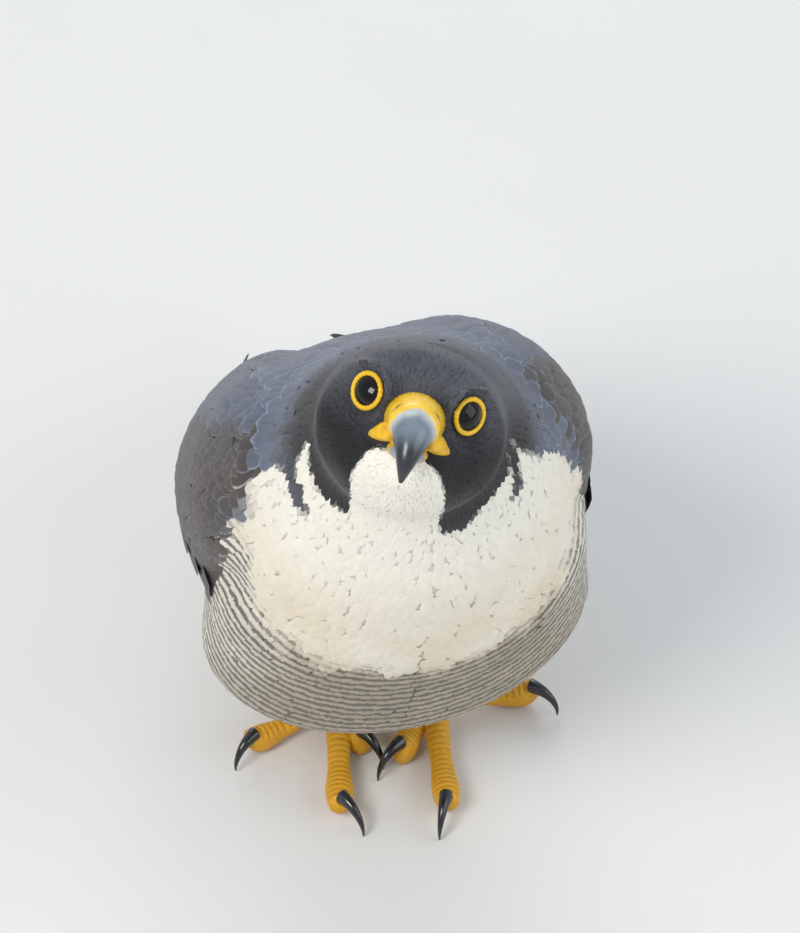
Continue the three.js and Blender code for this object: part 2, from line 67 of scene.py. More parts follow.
Material = bpy.types.Material

# Stations of the solids: fore, height, half width, radius to the back, radius to the front
TRUNK = [
    (-112, 52, 12, 7, 8), (-95, 65, 24, 14, 17), (-70, 83, 38, 22, 32), (-38, 107, 49, 31, 48),
    (-4, 132, 58, 40, 61), (30, 160, 63, 47, 70), (58, 188, 60, 48, 65), (80, 213, 53, 45, 49),
    (93, 236, 44, 40, 37), (102, 256, 36, 32, 29), (108, 274, 29, 24, 25),
]
BELLY = [(33, 94, 68, 43), (54, 148, 64, 47), (-22, 108, 50, 36)]
WING_BED = [
    (86, 222, 50, 44, 46), (60, 190, 62, 51, 65), (30, 160, 65.5, 50.5, 71), (-4, 132, 60.5, 43.5, 63),
    (-38, 107, 51.5, 34.5, 50), (-70, 83, 40, 26, 34), (-100, 62, 29, 19.5, 20), (-128, 43, 21.5, 15.5, 12),
    (-156, 24, 15, 11.5, 8),
]
WING_EDGES = [(44, 84), (32, 104), (22, 114), (16, 112), (13, 107), (12, 101), (12, 97), (13, 94), (15, 92)]
ARM_END = 0.56
HEAD_AT = (-2.8, -114.0, 282.0)
HEAD_TURN, HEAD_RAISE, HEAD_TILT = -12.0, 35.0, 13.0
HEAD_SECTIONS = [
    (-31, -6, 6, 7, 8), (-26, -6, 19, 15.5, 17), (-16, -7, 28, 23, 25), (-4, -8, 31, 26.5, 29),
    (7, -8, 29.5, 26, 29), (15, -8, 24, 22.5, 25), (21, -7, 17, 17.5, 18), (25.5, -5, 11, 12.5, 12.5),
    (28, -4, 7, 9, 8),
]
UPPER_BILL = [
    (20, -1.5, 9.2, 8, 9.4), (26, -0.8, 8, 7.6, 9.2), (31.5, -1.2, 7.2, 6.8, 8.4), (36, -3, 6, 5.6, 7),
    (39.4, -6.4, 4.4, 4.2, 5.4), (41.2, -11.2, 2.7, 2.6, 3.4), (40.6, -16.8, 0.6, 0.5, 0.6),
]
LOWER_BILL = [
    (18, -9.5, 8.6, 4, 3.5), (25, -9.8, 7.2, 4.2, 3.5), (31, -9.8, 5.8, 3.6, 3), (35.5, -9.4, 3.6, 2.2, 2.2),
    (37.4, -9, 1.6, 1, 1),
]
MOUTH_Z = -7.6
LIP_GAP = 0.15
HOOK_FROM = 38.0
CERE_FRONT = 34.0
CERE_SLANT = 0.4
EYE_RADIUS, RING_RADIUS, RING_THICK = 7.4, 5.3, 0.72
EYE_AT = (16.0, -16.8, 3.0)
EYE_OUTWARD, EYE_UPWARD = 40.0, 5.0
NOSTRIL_AT = (5.4, -31.0, 2.6)
BILL_BASE = (0.0, -30.0, -4.0)
TAIL_ROOT, TAIL_TIP = (0.0, 82.0, 77.0), (0.0, 165.0, 10.0)
FLOOR_GAP = 0.02
UP = np.array([0, 0, 1.0])

# Outlines of the dark and pale of the face, seen from straight in front of the head: across, height
PALE_FACE = [
    (75, -24), (43, -16.8), (36, -12.7), (32, -8.5), (35.6, -15.8), (38.5, -22.4), (39.2, -27), (36.7, -30.3),
    (35.7, -22.8), (34.5, -18.2), (32.1, -13.5), (33.2, -16.3), (33.1, -20.7), (31.7, -25.2), (29, -30.9),
    (26, -37), (23.4, -41.7), (17.3, -42.5), (16.4, -37.7), (15.5, -26.8), (14.3, -20.7), (11.9, -15.2),
    (8.7, -12.2), (0, -10), (-9.1, -11.2), (-11.6, -13.3), (-13.3, -18.1), (-14.2, -23.3), (-13.4, -29.8),
    (-12, -37.9), (-11.5, -42), (-18.7, -39.9), (-23.4, -36.2), (-26.9, -30.3), (-29.1, -24.9), (-31, -31.9),
    (-29.9, -37.4), (-26.8, -42.4), (-23.7, -46.3), (-20, -49), (-26.8, -48.6), (-30, -44.5), (-33.2, -40.5),
    (-36, -37.5), (-41, -43), (-44.2, -47), (-46, -62), (-75, -80), (-75, -160), (75, -160),
]


# Small helpers


def unit(v: Array) -> Array:
    """The same vectors at length one."""
    return v / np.maximum(np.linalg.norm(v, axis=-1, keepdims=True), 1e-9)


def mix(a: Array | float, b: Array | float, share: Array | float) -> Array:
    """The value that is a share of the way from a to b."""
    return a + (b - a) * share


def ramp(x: Array, low: float, high: float) -> Array:
    """A smooth step from 0 at low to 1 at high: 3s^2 - 2s^3 of the clipped share s."""
    s = np.clip((x - low) / (high - low), 0.0, 1.0)
    return s * s * (3 - 2 * s)


def linear(code: str) -> Array:
    """The linear colour of a hexadecimal sRGB code."""
    c = np.array([int(code[i : i + 2], 16) / 255 for i in (0, 2, 4)])
    return np.where(c <= 0.04045, c / 12.92, ((c + 0.055) / 1.055) ** 2.4)


def inside(points: Array, outline: list) -> Array:
    """How far points of a plane lie inside a closed outline: the distance to its nearest side.

    Args:
        points: rows of x and y.
        outline: the corners in order, as pairs.

    Returns:
        A distance for each point, negative outside.
    """
    a = np.array(outline, float)
    b = np.roll(a, -1, 0)
    x, y = points[:, None, 0], points[:, None, 1]
    edge = b - a
    share = np.clip(((x - a[:, 0]) * edge[:, 0] + (y - a[:, 1]) * edge[:, 1]) / (edge**2).sum(1), 0, 1)
    away = np.hypot(x - a[:, 0] - share * edge[:, 0], y - a[:, 1] - share * edge[:, 1]).min(1)
    level = np.where(edge[:, 1] == 0, 1e-9, edge[:, 1])
    crossed = ((a[:, 1] > y) != (b[:, 1] > y)) & (x < edge[:, 0] * (y - a[:, 1]) / level + a[:, 0])
    return np.where(crossed.sum(1) % 2 == 1, away, -away)


def head_round(q: Array) -> Array:
    """How far points of the head's frame lie from its middle, where 1 is the crown and the cheeks."""
    return np.sqrt((q[:, 0] / 32) ** 2 + ((q[:, 1] - 2) / 33) ** 2 + ((q[:, 2] + 6) / 27) ** 2)


def ripple(p: Array, size: float) -> Array:
    """Gentle, repeatable unevenness: the mean of sines of the place along six slanting directions.

    Args:
        p: rows of x, y, z.
        size: about how long one wave is.

    Returns:
        A value from -1 to 1 for each point.
    """
    ways = np.array([
        (1, 0.3, 0.2), (-0.4, 1, 0.5), (0.2, -0.6, 1), (0.9, 0.8, -0.4), (-0.7, 0.5, 1.1), (1.3, -0.9, 0.4),
    ])
    phases = np.sin(p @ (ways * (2 * np.pi / size)).T + np.arange(6) * 1.7)
    return np.clip(phases.mean(-1) * 2.0, -1, 1)


def turned(axis: Array, degrees: float) -> Array:
    """The matrix of a turn about an axis: I + sin K + (1 - cos) K^2.

    Args:
        axis: a direction of length one.
        degrees: the angle.

    Returns:
        A matrix of three rows.
    """
    x, y, z = axis
    cross = np.array([[0, -z, y], [z, 0, -x], [-y, x, 0]])
    angle = math.radians(degrees)
    return np.eye(3) + math.sin(angle) * cross + (1 - math.cos(angle)) * cross @ cross


def smooth_curve(stations: Array, t: Array) -> Array:
    """Points of the smooth curve through stations at shares t from 0 to 1.

    Each span is a cubic through its two stations, with slopes from its neighbours spaced by the square roots
    of the distances, so that it never loops.

    Args:
        stations: the values to pass through, one row each.
        t: shares of the way, of any shape.

    Returns:
        Values at t, with one more axis than t.
    """
    stations = np.asarray(stations, float)
    ends = np.vstack([2 * stations[0] - stations[1], stations, 2 * stations[-1] - stations[-2]])
    place = np.clip(t, 0, 1) * (len(stations) - 1)
    i = np.minimum(place.astype(int), len(stations) - 2)
    w = (place - i)[..., None]
    a, b, c, d = (ends[i + k] for k in range(4))
    middle = np.sqrt(np.linalg.norm(c - b, axis=-1, keepdims=True))
    middle = np.where(middle < 1e-4, 1.0, middle)
    first = np.sqrt(np.linalg.norm(b - a, axis=-1, keepdims=True))
    first = np.where(first < 1e-4, middle, first)
    last = np.sqrt(np.linalg.norm(d - c, axis=-1, keepdims=True))
    last = np.where(last < 1e-4, middle, last)
    slope_in = ((b - a) / first - (c - a) / (first + middle) + (c - b) / middle) * middle
    slope_out = ((c - b) / middle - (d - b) / (middle + last) + (d - c) / last) * middle
    square = (3 * (c - b) - 2 * slope_in - slope_out) * w**2
    cube = (2 * (b - c) + slope_in + slope_out) * w**3
    return b + slope_in * w + square + cube


@dataclass(frozen=True)
class Spine:
    """A body of changing oval section: a smooth line with a half width and radii to the back and the front."""

    stations: tuple

    def frame(self, t: Array) -> tuple[Array, Array, Array, Array]:
        """The line and its sections at shares of the way.

        Args:
            t: shares from 0, at the tail's end, to 1.

        Returns:
            The centre, the way forward, the way to the back and the three sizes.
        """
        s = np.array(self.stations, float)
        path = np.stack([0 * s[:, 0], -s[:, 0], s[:, 1]], -1)
        t = np.clip(t, 0, 1)
        centre = smooth_curve(path, t)
        along = smooth_curve(path, np.minimum(t + 1e-3, 1)) - smooth_curve(path, np.maximum(t - 1e-3, 0))
        along[..., 0] = 0
        along = unit(along)
        along = np.where(along[..., 1:2] > 0, -along, along)
        back = np.stack([0 * along[..., 0], along[..., 2], -along[..., 1]], -1)
        return centre, along, back, smooth_curve(s[:, 2:], t)

    def skin(self, t: Array, angle: Array, lift: Array | float = 0.0) -> Array:
        """Points at an angle (radians) from the middle of the back, lifted off the surface.

        The point is centre + (w + lift) sin(angle) across + (radius + lift) cos(angle) to the back.

        Args:
            t: shares of the way along the body.
            angle: angles, 0 at the middle of the back.
            lift: how far the point stands off the surface.

        Returns:
            Points of the upright body.
        """
        centre, _, back, size = self.frame(t)
        s, c = np.sin(angle), np.cos(angle)
        radius = np.where(c > 0, size[..., 1], size[..., 2])
        out = centre + back * ((radius + lift) * c)[..., None]
        out[..., 0] += (size[..., 0] + lift) * s
        return out


TRUNK_SPINE = Spine(tuple(TRUNK))
WING_SPINE = Spine(tuple(WING_BED))
LEAN_FROM = np.array([0, 95.0, 65.0])
LEAN = turned(unit(np.array([0, -58.0, 188.0]) - LEAN_FROM), 5.0)
SHIFT = np.array([0, BOX_SHIFT, 0])


def lean(p: Array) -> Array:
    """Turns the upright body's points about the line of its back, and moves them to the middle of the box."""
    return (p - LEAN_FROM) @ LEAN.T + LEAN_FROM + SHIFT


def upright(p: Array) -> Array:
    """Undoes the lean."""
    return (p - SHIFT - LEAN_FROM) @ LEAN + LEAN_FROM


HEAD = (
    turned(np.array([0, 0, 1.0]), HEAD_TURN)
    @ turned(np.array([1.0, 0, 0]), -HEAD_RAISE)
    @ turned(np.array([0, 1.0, 0]), HEAD_TILT)
)


def from_head(q: Array) -> Array:
    """Points given in the head's own frame, with -Y to the beak, at their place on the bird."""
    return np.asarray(q, float) @ HEAD.T + np.array(HEAD_AT) + SHIFT


def to_head(p: Array) -> Array:
    """Points of the bird in the head's own frame."""
    return (p - np.array(HEAD_AT) - SHIFT) @ HEAD


def sections(rows: list, steps: int, sides: int, lift: float = 0.0) -> Array:
    """Rings of the head's or beak's stations, in the head's frame.

    Args:
        rows: stations as fore, height, half width, up and down.
        steps: rings less one.
        sides: points round a ring.
        lift: how far the surface stands off.

    Returns:
        An array of steps + 1 rings of sides points.
    """
    s = np.array(rows, float)
    path = np.stack([0 * s[:, 0], -s[:, 0], s[:, 1]], -1)
    return bar(path, s[:, 2:], np.array([-1.0, 0, 0]), steps, sides, lift)


def bar(path: Array, sizes: Array, across: Array, steps: int, sides: int, lift: float = 0.0) -> Array:
    """Rings of a bar that follows a path, with a half width and radii up and down.

    A ring's point is centre + (w + lift) sin(angle) side + (radius + lift) cos(angle) up, where up is the
    cross product of across and along.

    Args:
        path: stations of the middle line.
        sizes: half width, up and down at each station.
        across: the direction that stays level across the bar.
        steps: rings less one.
        sides: points round a ring.
        lift: how far the surface stands off.

    Returns:
        An array of steps + 1 rings of sides points.
    """
    t = np.linspace(0, 1, steps + 1)
    centre, size = smooth_curve(path, t), smooth_curve(sizes, t)
    along = unit(smooth_curve(path, np.minimum(t + 1e-3, 1)) - smooth_curve(path, np.maximum(t - 1e-3, 0)))
    up = unit(np.cross(np.broadcast_to(across, along.shape), along))
    side = unit(np.cross(along, up))
    angle = np.linspace(0, 2 * np.pi, sides, endpoint=False)
    c = np.cos(angle)[None, :, None]
    radius = np.where(c > 0, size[:, 1, None, None], size[:, 2, None, None]) + lift
    ends = np.zeros(steps + 1)
    ends[0], ends[-1] = -lift, lift
    middle = (centre + along * ends[:, None])[:, None]
    sideways = (size[:, 0, None, None] + lift) * np.sin(angle)[None, :, None]
    return middle + side[:, None] * sideways + up[:, None] * radius * c


# Meshes


def around_and_along(along: Array, sides: int) -> tuple[Array, Array]:
    """Two grids for a surface of revolution: the place along it, and the angle round it from 0 to 2 pi."""
    return np.meshgrid(along, np.linspace(0, 2 * np.pi, sides, endpoint=False), indexing="ij")


def grid_faces(rows: int, columns: int, wrap: bool) -> Array:
    """Quads of a grid of points numbered row by row.

    Args:
        rows: points down the grid.
        columns: points across it.
        wrap: whether the last column joins the first.

    Returns:
        Point numbers, four for each quad.
    """
    index = np.arange(rows * columns).reshape(rows, columns)
    right = np.roll(index, -1, axis=1)
    if not wrap:
        index, right = index[:, :-1], right[:, :-1]
    return np.stack([index[:-1], right[:-1], right[1:], index[1:]], -1).reshape(-1, 4)


def tube_mesh(rings: Array) -> tuple[Array, list]:
    """Closes rings into a tube: quads between the rings, with a fan of triangles at each end.

    Args:
        rings: points, by ring and place round it.

    Returns:
        The points and the faces, which point outwards.
    """
    rows, columns = rings.shape[:2]
    points = np.vstack([rings.reshape(-1, 3), rings[0].mean(0), rings[-1].mean(0)])
    faces = grid_faces(rows, columns, True).tolist()
    ring = np.arange(columns)
    after = np.roll(ring, -1)
    last = (rows - 1) * columns
    first_cap = np.stack([after, ring, np.full(columns, rows * columns)], -1)
    last_cap = np.stack([ring + last, after + last, np.full(columns, rows * columns + 1)], -1)
    faces += first_cap.tolist() + last_cap.tolist()
    quads = np.array(faces[: (rows - 1) * columns])
    corner = points - points.mean(0)
    volume = np.einsum("ij,ij->i", corner[quads[:, 0]], np.cross(corner[quads[:, 1]], corner[quads[:, 2]])).sum()
    return points, faces if volume > 0 else [face[::-1] for face in faces]


def new_object(name: str, points: Array, faces: list | Array, smooth: bool = True) -> Object:
    """A mesh object from points in millimetres and faces, linked to the scene.

    Args:
        name: the piece's name.
        points: rows of x, y, z.
        faces: lists of point numbers, or one array of quads.
        smooth: whether faces are shaded smooth.

    Returns:
        The object.
    """
    mesh = bpy.data.meshes.new(name)
    points = np.asarray(points, float) * MM
    if isinstance(faces, np.ndarray):
        mesh.vertices.add(len(points))
        mesh.vertices.foreach_set("co", points.astype(np.float32).ravel())
        mesh.loops.add(faces.size)
        mesh.loops.foreach_set("vertex_index", faces.astype(np.int32).ravel())
        mesh.polygons.add(len(faces))
        mesh.polygons.foreach_set("loop_start", np.arange(0, faces.size, faces.shape[1], dtype=np.int32))
        mesh.update(calc_edges=True)
    else:
        mesh.from_pydata(points.tolist(), [], faces)
    mesh.polygons.foreach_set("use_smooth", np.full(len(mesh.polygons), smooth))
    mesh.update()
    obj = bpy.data.objects.new(name, mesh)
    bpy.context.scene.collection.objects.link(obj)
    return obj


def set_attribute(obj: Object, name: str, kind: str, values: Array) -> None:
    """Stores one value for each point of a mesh.

    Args:
        obj: the mesh's object.
        name: the attribute's name.
        kind: FLOAT, FLOAT_VECTOR or FLOAT_COLOR.
        values: one row for each point.
    """
    layer = obj.data.attributes.new(name, kind, "POINT")
    key = {"FLOAT": "value", "FLOAT_VECTOR": "vector", "FLOAT_COLOR": "color"}[kind]
    layer.data.foreach_set(key, np.ascontiguousarray(values, np.float32).ravel())


def set_uv(obj: Object, name: str, values: Array) -> None:
    """Stores a UV map.

    Args:
        obj: the mesh's object.
        name: the map's name.
        values: one pair for each point.
    """
    mesh = obj.data
    layer = mesh.uv_layers.new(name=name)
    corners = np.zeros(len(mesh.loops), np.int32)
    mesh.loops.foreach_get("vertex_index", corners)
    layer.data.foreach_set("uv", np.ascontiguousarray(values[corners], np.float32).ravel())


def colours(rgb: Array) -> Array:
    """Colours with a full fourth channel."""
    return np.concatenate([rgb, np.ones(rgb.shape[:-1] + (1,))], -1)


def present(obj: Object, slot: str, material: Material, *nodes: str) -> Object:
    """Dresses a piece, sets it on the body, names what it stands for, and reports it.

    Args:
        obj: the piece.
        slot: not used.
        material: its finish.
        nodes: the solids that it replaces, if any.

    Returns:
        The same piece.
    """
    obj.data.materials.clear()
    obj.data.materials.append(material)
    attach(obj, "root")
    if nodes:
        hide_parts(*nodes)
    LOG.info("%s: %d faces, for %s", obj.name, len(obj.data.polygons), ", ".join(nodes) or "the coat")
    return obj


# Finishes, with the depth of their relief in metres

BARB_RELIEF = 0.00004
GRAIN_RELIEF = 0.0002


class Graph:
    """A thin layer over a node tree: adds nodes and joins them by socket name."""

    def __init__(self, tree: bpy.types.NodeTree) -> None:
        """Keeps the tree to build in."""
        self.tree = tree

    def node(self, kind: str, values: dict | None = None, **settings: object) -> bpy.types.Node:
        """Adds a node.

        Args:
            kind: the node's type.
            values: by input name or number, a value to set or a socket to join.
            settings: the node's own properties.

        Returns:
            The node.
        """
        made = self.tree.nodes.new(kind)
        for key, value in settings.items():
            setattr(made, key, value)
        for key, value in (values or {}).items():
            socket = made.inputs[key]
            if isinstance(value, bpy.types.NodeSocket):
                self.tree.links.new(value, socket)
            else:
                socket.default_value = value
        return made

    def math(self, operation: str, a: object, b: object = 0.0) -> bpy.types.NodeSocket:
        """One sum on two numbers."""
        return self.node("ShaderNodeMath", {0: a, 1: b}, operation=operation).outputs[0]

    def blend(self, factor: object, a: object, b: object, mode: str = "MIX") -> bpy.types.NodeSocket:
        """Mixes two colours."""
        made = self.node("ShaderNodeMix", {"Factor": factor, 6: a, 7: b}, data_type="RGBA", blend_type=mode)
        return made.outputs[2]

    def step(self, value: object, low: float, high: float) -> bpy.types.NodeSocket:
        """A smooth step from 0 at low to 1 at high."""
        values = {"Value": value, "From Min": low, "From Max": high}
        return self.node("ShaderNodeMapRange", values, interpolation_type="SMOOTHSTEP").outputs[0]


def new_group(
    name: str, inputs: dict[str, str], outputs: dict[str, str]
) -> tuple[bpy.types.NodeTree, Graph, bpy.types.Node, bpy.types.Node]:
    """Starts a shader group with named sockets.

    Args:
        name: the group's name.
        inputs: socket types by name.
        outputs: socket types by name.

    Returns:
        The group, its graph, its input node and its output node.
    """
    tree = bpy.data.node_groups.new(name, "ShaderNodeTree")
    for way, sockets in (("INPUT", inputs), ("OUTPUT", outputs)):
        for socket, kind in sockets.items():
            tree.interface.new_socket(name=socket, in_out=way, socket_type=kind)
    graph = Graph(tree)
    return tree, graph, graph.node("NodeGroupInput"), graph.node("NodeGroupOutput")


def vane_group() -> bpy.types.NodeTree:
    """The markings and barbs of a feather, from the values stored on its mesh.

    The pale rim grows where Rim nears 1, bars follow the sine of Run, the shaft lies where the place across
    is near 0, and barbs are noise stretched along lines that slant from the shaft to the tip.

    Returns:
        The group.
    """
    tree, g, start, end = new_group(
        "feather_markings",
        {
            "Plume": "NodeSocketColor", "Ink": "NodeSocketColor", "Rim colour": "NodeSocketColor",
            "Marks": "NodeSocketVector", "Rim": "NodeSocketFloat", "Run": "NodeSocketFloat",
            "Vane": "NodeSocketVector", "Barb depth": "NodeSocketFloat",
        },
        {"Color": "NodeSocketColor", "Height": "NodeSocketFloat"},
    )
    at = start.outputs
    marks = g.node("ShaderNodeSeparateXYZ", {0: at["Marks"]}).outputs
    place = g.node("ShaderNodeSeparateXYZ", {0: at["Vane"]}).outputs
    aside = g.math("ABSOLUTE", place[0])
    slant = g.math("SUBTRACT", place[1], g.math("MULTIPLY", aside, 0.9))
    stretched = {0: g.math("MULTIPLY", aside, 0.25), 1: g.math("MULTIPLY", slant, 2.4), 2: place[2]}
    lines = g.node("ShaderNodeCombineXYZ", stretched).outputs[0]
    barbs = g.node("ShaderNodeTexNoise", {"Vector": lines, "Scale": 1.0, "Detail": 2.0, "Roughness": 0.6})
    shares = {"Value": barbs.outputs[0], "From Min": 0.3, "From Max": 0.7, "To Min": 0.8, "To Max": 1.15}
    streak = g.node("ShaderNodeMapRange", shares)
    edge = g.math("MULTIPLY", g.step(at["Rim"], 0.74, 0.99), marks[0])
    uneven = g.math("ADD", at["Run"], g.math("MULTIPLY", barbs.outputs[0], 0.25))
    wave = g.math("SINE", g.math("MULTIPLY", uneven, 2 * math.pi))
    bars = g.math("MULTIPLY", g.step(wave, -0.15, 0.45), marks[1])
    shaft = g.math("MULTIPLY", g.math("SUBTRACT", 1.0, g.step(aside, 0.12, 0.4)), marks[2])
    tint = g.blend(edge, at["Plume"], at["Rim colour"])
    tint = g.blend(g.math("MAXIMUM", bars, shaft), tint, at["Ink"])
    tint = g.blend(at["Barb depth"], tint, g.blend(1.0, tint, streak.outputs[0], "MULTIPLY"))
    g.tree.links.new(tint, end.inputs["Color"])
    g.tree.links.new(barbs.outputs[0], end.inputs["Height"])
    return tree


def grain_group() -> bpy.types.NodeTree:
    """Fine grain on skin and horn: the distance to a cell's edge, and noise mixed with it.

    Returns:
        The group.
    """
    tree, g, start, end = new_group(
        "skin_grain",
        {"Place": "NodeSocketVector", "Cells": "NodeSocketFloat", "Noise": "NodeSocketFloat"},
        {"Shade": "NodeSocketFloat", "Height": "NodeSocketFloat"},
    )
    at = start.outputs
    cell_inputs = {"Vector": at["Place"], "Scale": at["Cells"]}
    cells = g.node("ShaderNodeTexVoronoi", cell_inputs, feature="DISTANCE_TO_EDGE")
    noise = g.node("ShaderNodeTexNoise", {"Vector": at["Place"], "Scale": at["Noise"], "Detail": 4.0})
    height = g.step(cells.outputs[0], 0.0, 0.16)
    shade = g.math("ADD", g.math("MULTIPLY", height, 0.25), g.math("MULTIPLY", noise.outputs[0], 0.75))
    g.tree.links.new(shade, end.inputs["Shade"])
    g.tree.links.new(height, end.inputs["Height"])
    return tree


def new_material(name: str) -> tuple[Material, Graph, bpy.types.Node]:
    """Starts a material.

    Args:
        name: the material's name.

    Returns:
        The material, its graph and its Principled shader.
    """
    material = bpy.data.materials.new(name)
    material.use_nodes = True
    shader = next(n for n in material.node_tree.nodes if n.type == "BSDF_PRINCIPLED")
    return material, Graph(material.node_tree), shader


@dataclass(frozen=True)
class FeatherFinish:
    """A soft, barbed surface that takes its colours from its mesh."""

    name: str
    rim: str
    roughness: float = 0.75
    sheen: float = 0.15
    bump: float = 0.35
    barbs: float = 0.55
    specular: float = 0.25

    def make(self, group: bpy.types.NodeTree) -> Material:
        """Makes the material.

        Args:
            group: the shared markings group.

        Returns:
            The material.
        """
        material, g, shader = new_material(self.name)
        names = ("Plume", "Ink", "Marks", "Rim", "Run")
        stored = {n: g.node("ShaderNodeAttribute", attribute_name=n).outputs for n in names}
        place = g.node("ShaderNodeUVMap", uv_map="Vane").outputs[0]
        values = {
            "Plume": stored["Plume"]["Color"], "Ink": stored["Ink"]["Color"], "Marks": stored["Marks"]["Vector"],
            "Rim": stored["Rim"]["Fac"], "Run": stored["Run"]["Fac"], "Vane": place,
            "Rim colour": (*linear(self.rim), 1.0), "Barb depth": self.barbs,
        }
        made = g.node("ShaderNodeGroup", node_tree=group)
        for key, value in values.items():
            if isinstance(value, bpy.types.NodeSocket):
                g.tree.links.new(value, made.inputs[key])
            else:
                made.inputs[key].default_value = value
        relief = {"Height": made.outputs["Height"], "Strength": self.bump, "Distance": BARB_RELIEF}
        bump = g.node("ShaderNodeBump", relief)
        g.tree.links.new(made.outputs["Color"], shader.inputs["Base Color"])
        g.tree.links.new(bump.outputs[0], shader.inputs["Normal"])
        shader.inputs["Roughness"].default_value = self.roughness
        shader.inputs["Specular IOR Level"].default_value = self.specular
        shader.inputs["Sheen Weight"].default_value = self.sheen
        shader.inputs["Sheen Roughness"].default_value = 0.5
        return material


@dataclass(frozen=True)
class HornFinish:
    """Bare skin, horn or claw, coloured by its mesh and grained by the shared group."""

    name: str
    cells: float
    noise: float
    roughness: float
    coat: float = 0.0
    bump: float = 0.3
    depth: float = 0.35
    subsurface: float = 0.0
    specular: float = 0.5

    def make(self, group: bpy.types.NodeTree) -> Material:
        """Makes the material.

        Args:
            group: the shared grain group.

        Returns:
            The material.
        """
        material, g, shader = new_material(self.name)
        plume = g.node("ShaderNodeAttribute", attribute_name="Plume").outputs["Color"]
        place = g.node("ShaderNodeTexCoord").outputs["Object"]
        made = g.node("ShaderNodeGroup", node_tree=group)
        g.tree.links.new(place, made.inputs["Place"])
        made.inputs["Cells"].default_value = self.cells
        made.inputs["Noise"].default_value = self.noise
        shares = {"Value": made.outputs["Shade"], "From Min": 0.3, "From Max": 0.8, "To Min": 0.6, "To Max": 1.1}
        shade = g.node("ShaderNodeMapRange", shares)
        tint = g.blend(self.depth, plume, g.blend(1.0, plume, shade.outputs[0], "MULTIPLY"))
        relief = {"Height": made.outputs["Height"], "Strength": self.bump, "Distance": GRAIN_RELIEF}
        bump = g.node("ShaderNodeBump", relief)
        g.tree.links.new(tint, shader.inputs["Base Color"])
        g.tree.links.new(bump.outputs[0], shader.inputs["Normal"])
        shader.inputs["Roughness"].default_value = self.roughness
        shader.inputs["Coat Weight"].default_value = self.coat
        shader.inputs["Coat Roughness"].default_value = 0.05
        shader.inputs["Specular IOR Level"].default_value = self.specular
        shader.inputs["Subsurface Weight"].default_value = self.subsurface
        shader.inputs["Subsurface Radius"].default_value = (0.002, 0.001, 0.0005)
        shader.inputs["Subsurface Scale"].default_value = 1.0
        return material


class Finish(Enum):
    """The finishes of the bird."""

    BODY = FeatherFinish("body_plumage", "efe9dc")
    HOOD = FeatherFinish("hood_plumage", "6d717b", sheen=0.1, barbs=0.6)
    SLATE = FeatherFinish("slate_plumage", "8b93a1", sheen=0.1, roughness=0.65)
    FLIGHT = FeatherFinish("flight_plumage", "7d7873", sheen=0.05, roughness=0.55, bump=0.5, specular=0.35)
    CERE = HornFinish("waxy_skin", 900.0, 300.0, 0.42, bump=0.15, subsurface=0.15)
    FOOT = HornFinish("scaly_skin", 1100.0, 500.0, 0.45, bump=0.5, subsurface=0.1)
    BILL = HornFinish("bill_horn", 60.0, 700.0, 0.3, coat=0.2, bump=0.05)
    CLAW = HornFinish("claw_horn", 50.0, 900.0, 0.22, coat=0.5, bump=0.05)
    EYE = HornFinish("wet_eye", 40.0, 1500.0, 0.06, bump=0.0, depth=0.2, specular=0.35)


class Wardrobe:
    """Makes each finish once."""

    def __init__(self) -> None:
        """Builds the shared groups."""
        self.groups = {FeatherFinish: vane_group(), HornFinish: grain_group()}
        self.made: dict[Finish, Material] = {}

    def get(self, finish: Finish) -> Material:
        """The material of a finish."""
        if finish not in self.made:
            self.made[finish] = finish.value.make(self.groups[type(finish.value)])
        return self.made[finish]


# Markings


@dataclass
class Marks:
    """Colours and strengths of the markings at some places, one row each."""

    plume: Array
    ink: Array
    edge: Array
    bar: Array
    shaft: Array
    run: Array


class BodyMap:
    """Finds where a point lies on the trunk: its share along, its angle from the back and its run in bars."""

    ROWS, COLUMNS = 150, 120

    def __init__(self) -> None:
        """Fills a tree of points on the trunk's surface."""
        self.t = np.linspace(0, 1, self.ROWS)
        self.angle = np.linspace(-np.pi, np.pi, self.COLUMNS, endpoint=False)
        t, angle = np.meshgrid(self.t, self.angle, indexing="ij")
        points = TRUNK_SPINE.skin(t, angle).reshape(-1, 3)
        self.tree = KDTree(len(points))
        for i, point in enumerate(points):
            self.tree.insert(point, i)
        self.tree.balance()
        centre = TRUNK_SPINE.frame(self.t)[0]
        self.length = np.concatenate([[0], np.cumsum(np.linalg.norm(np.diff(centre, axis=0), axis=1))])

    def at(self, p: Array) -> tuple[Array, Array, Array]:
        """Places points on the trunk by the nearest point of its surface.

        Args:
            p: points of the bird.

        Returns:
            The share along the trunk, the angle in degrees and the length from the tail's end.
        """
        found = np.array([self.tree.find(point)[1] for point in upright(p)])
        row, column = found // self.COLUMNS, found % self.COLUMNS
        t = self.t[row]
        _, along, _, _ = TRUNK_SPINE.frame(t)
        ahead = np.einsum("ij,ij->i", upright(p) - TRUNK_SPINE.frame(t)[0], along)
        return t, np.degrees(self.angle[column]), self.length[row] + np.clip(ahead, -6, 6)


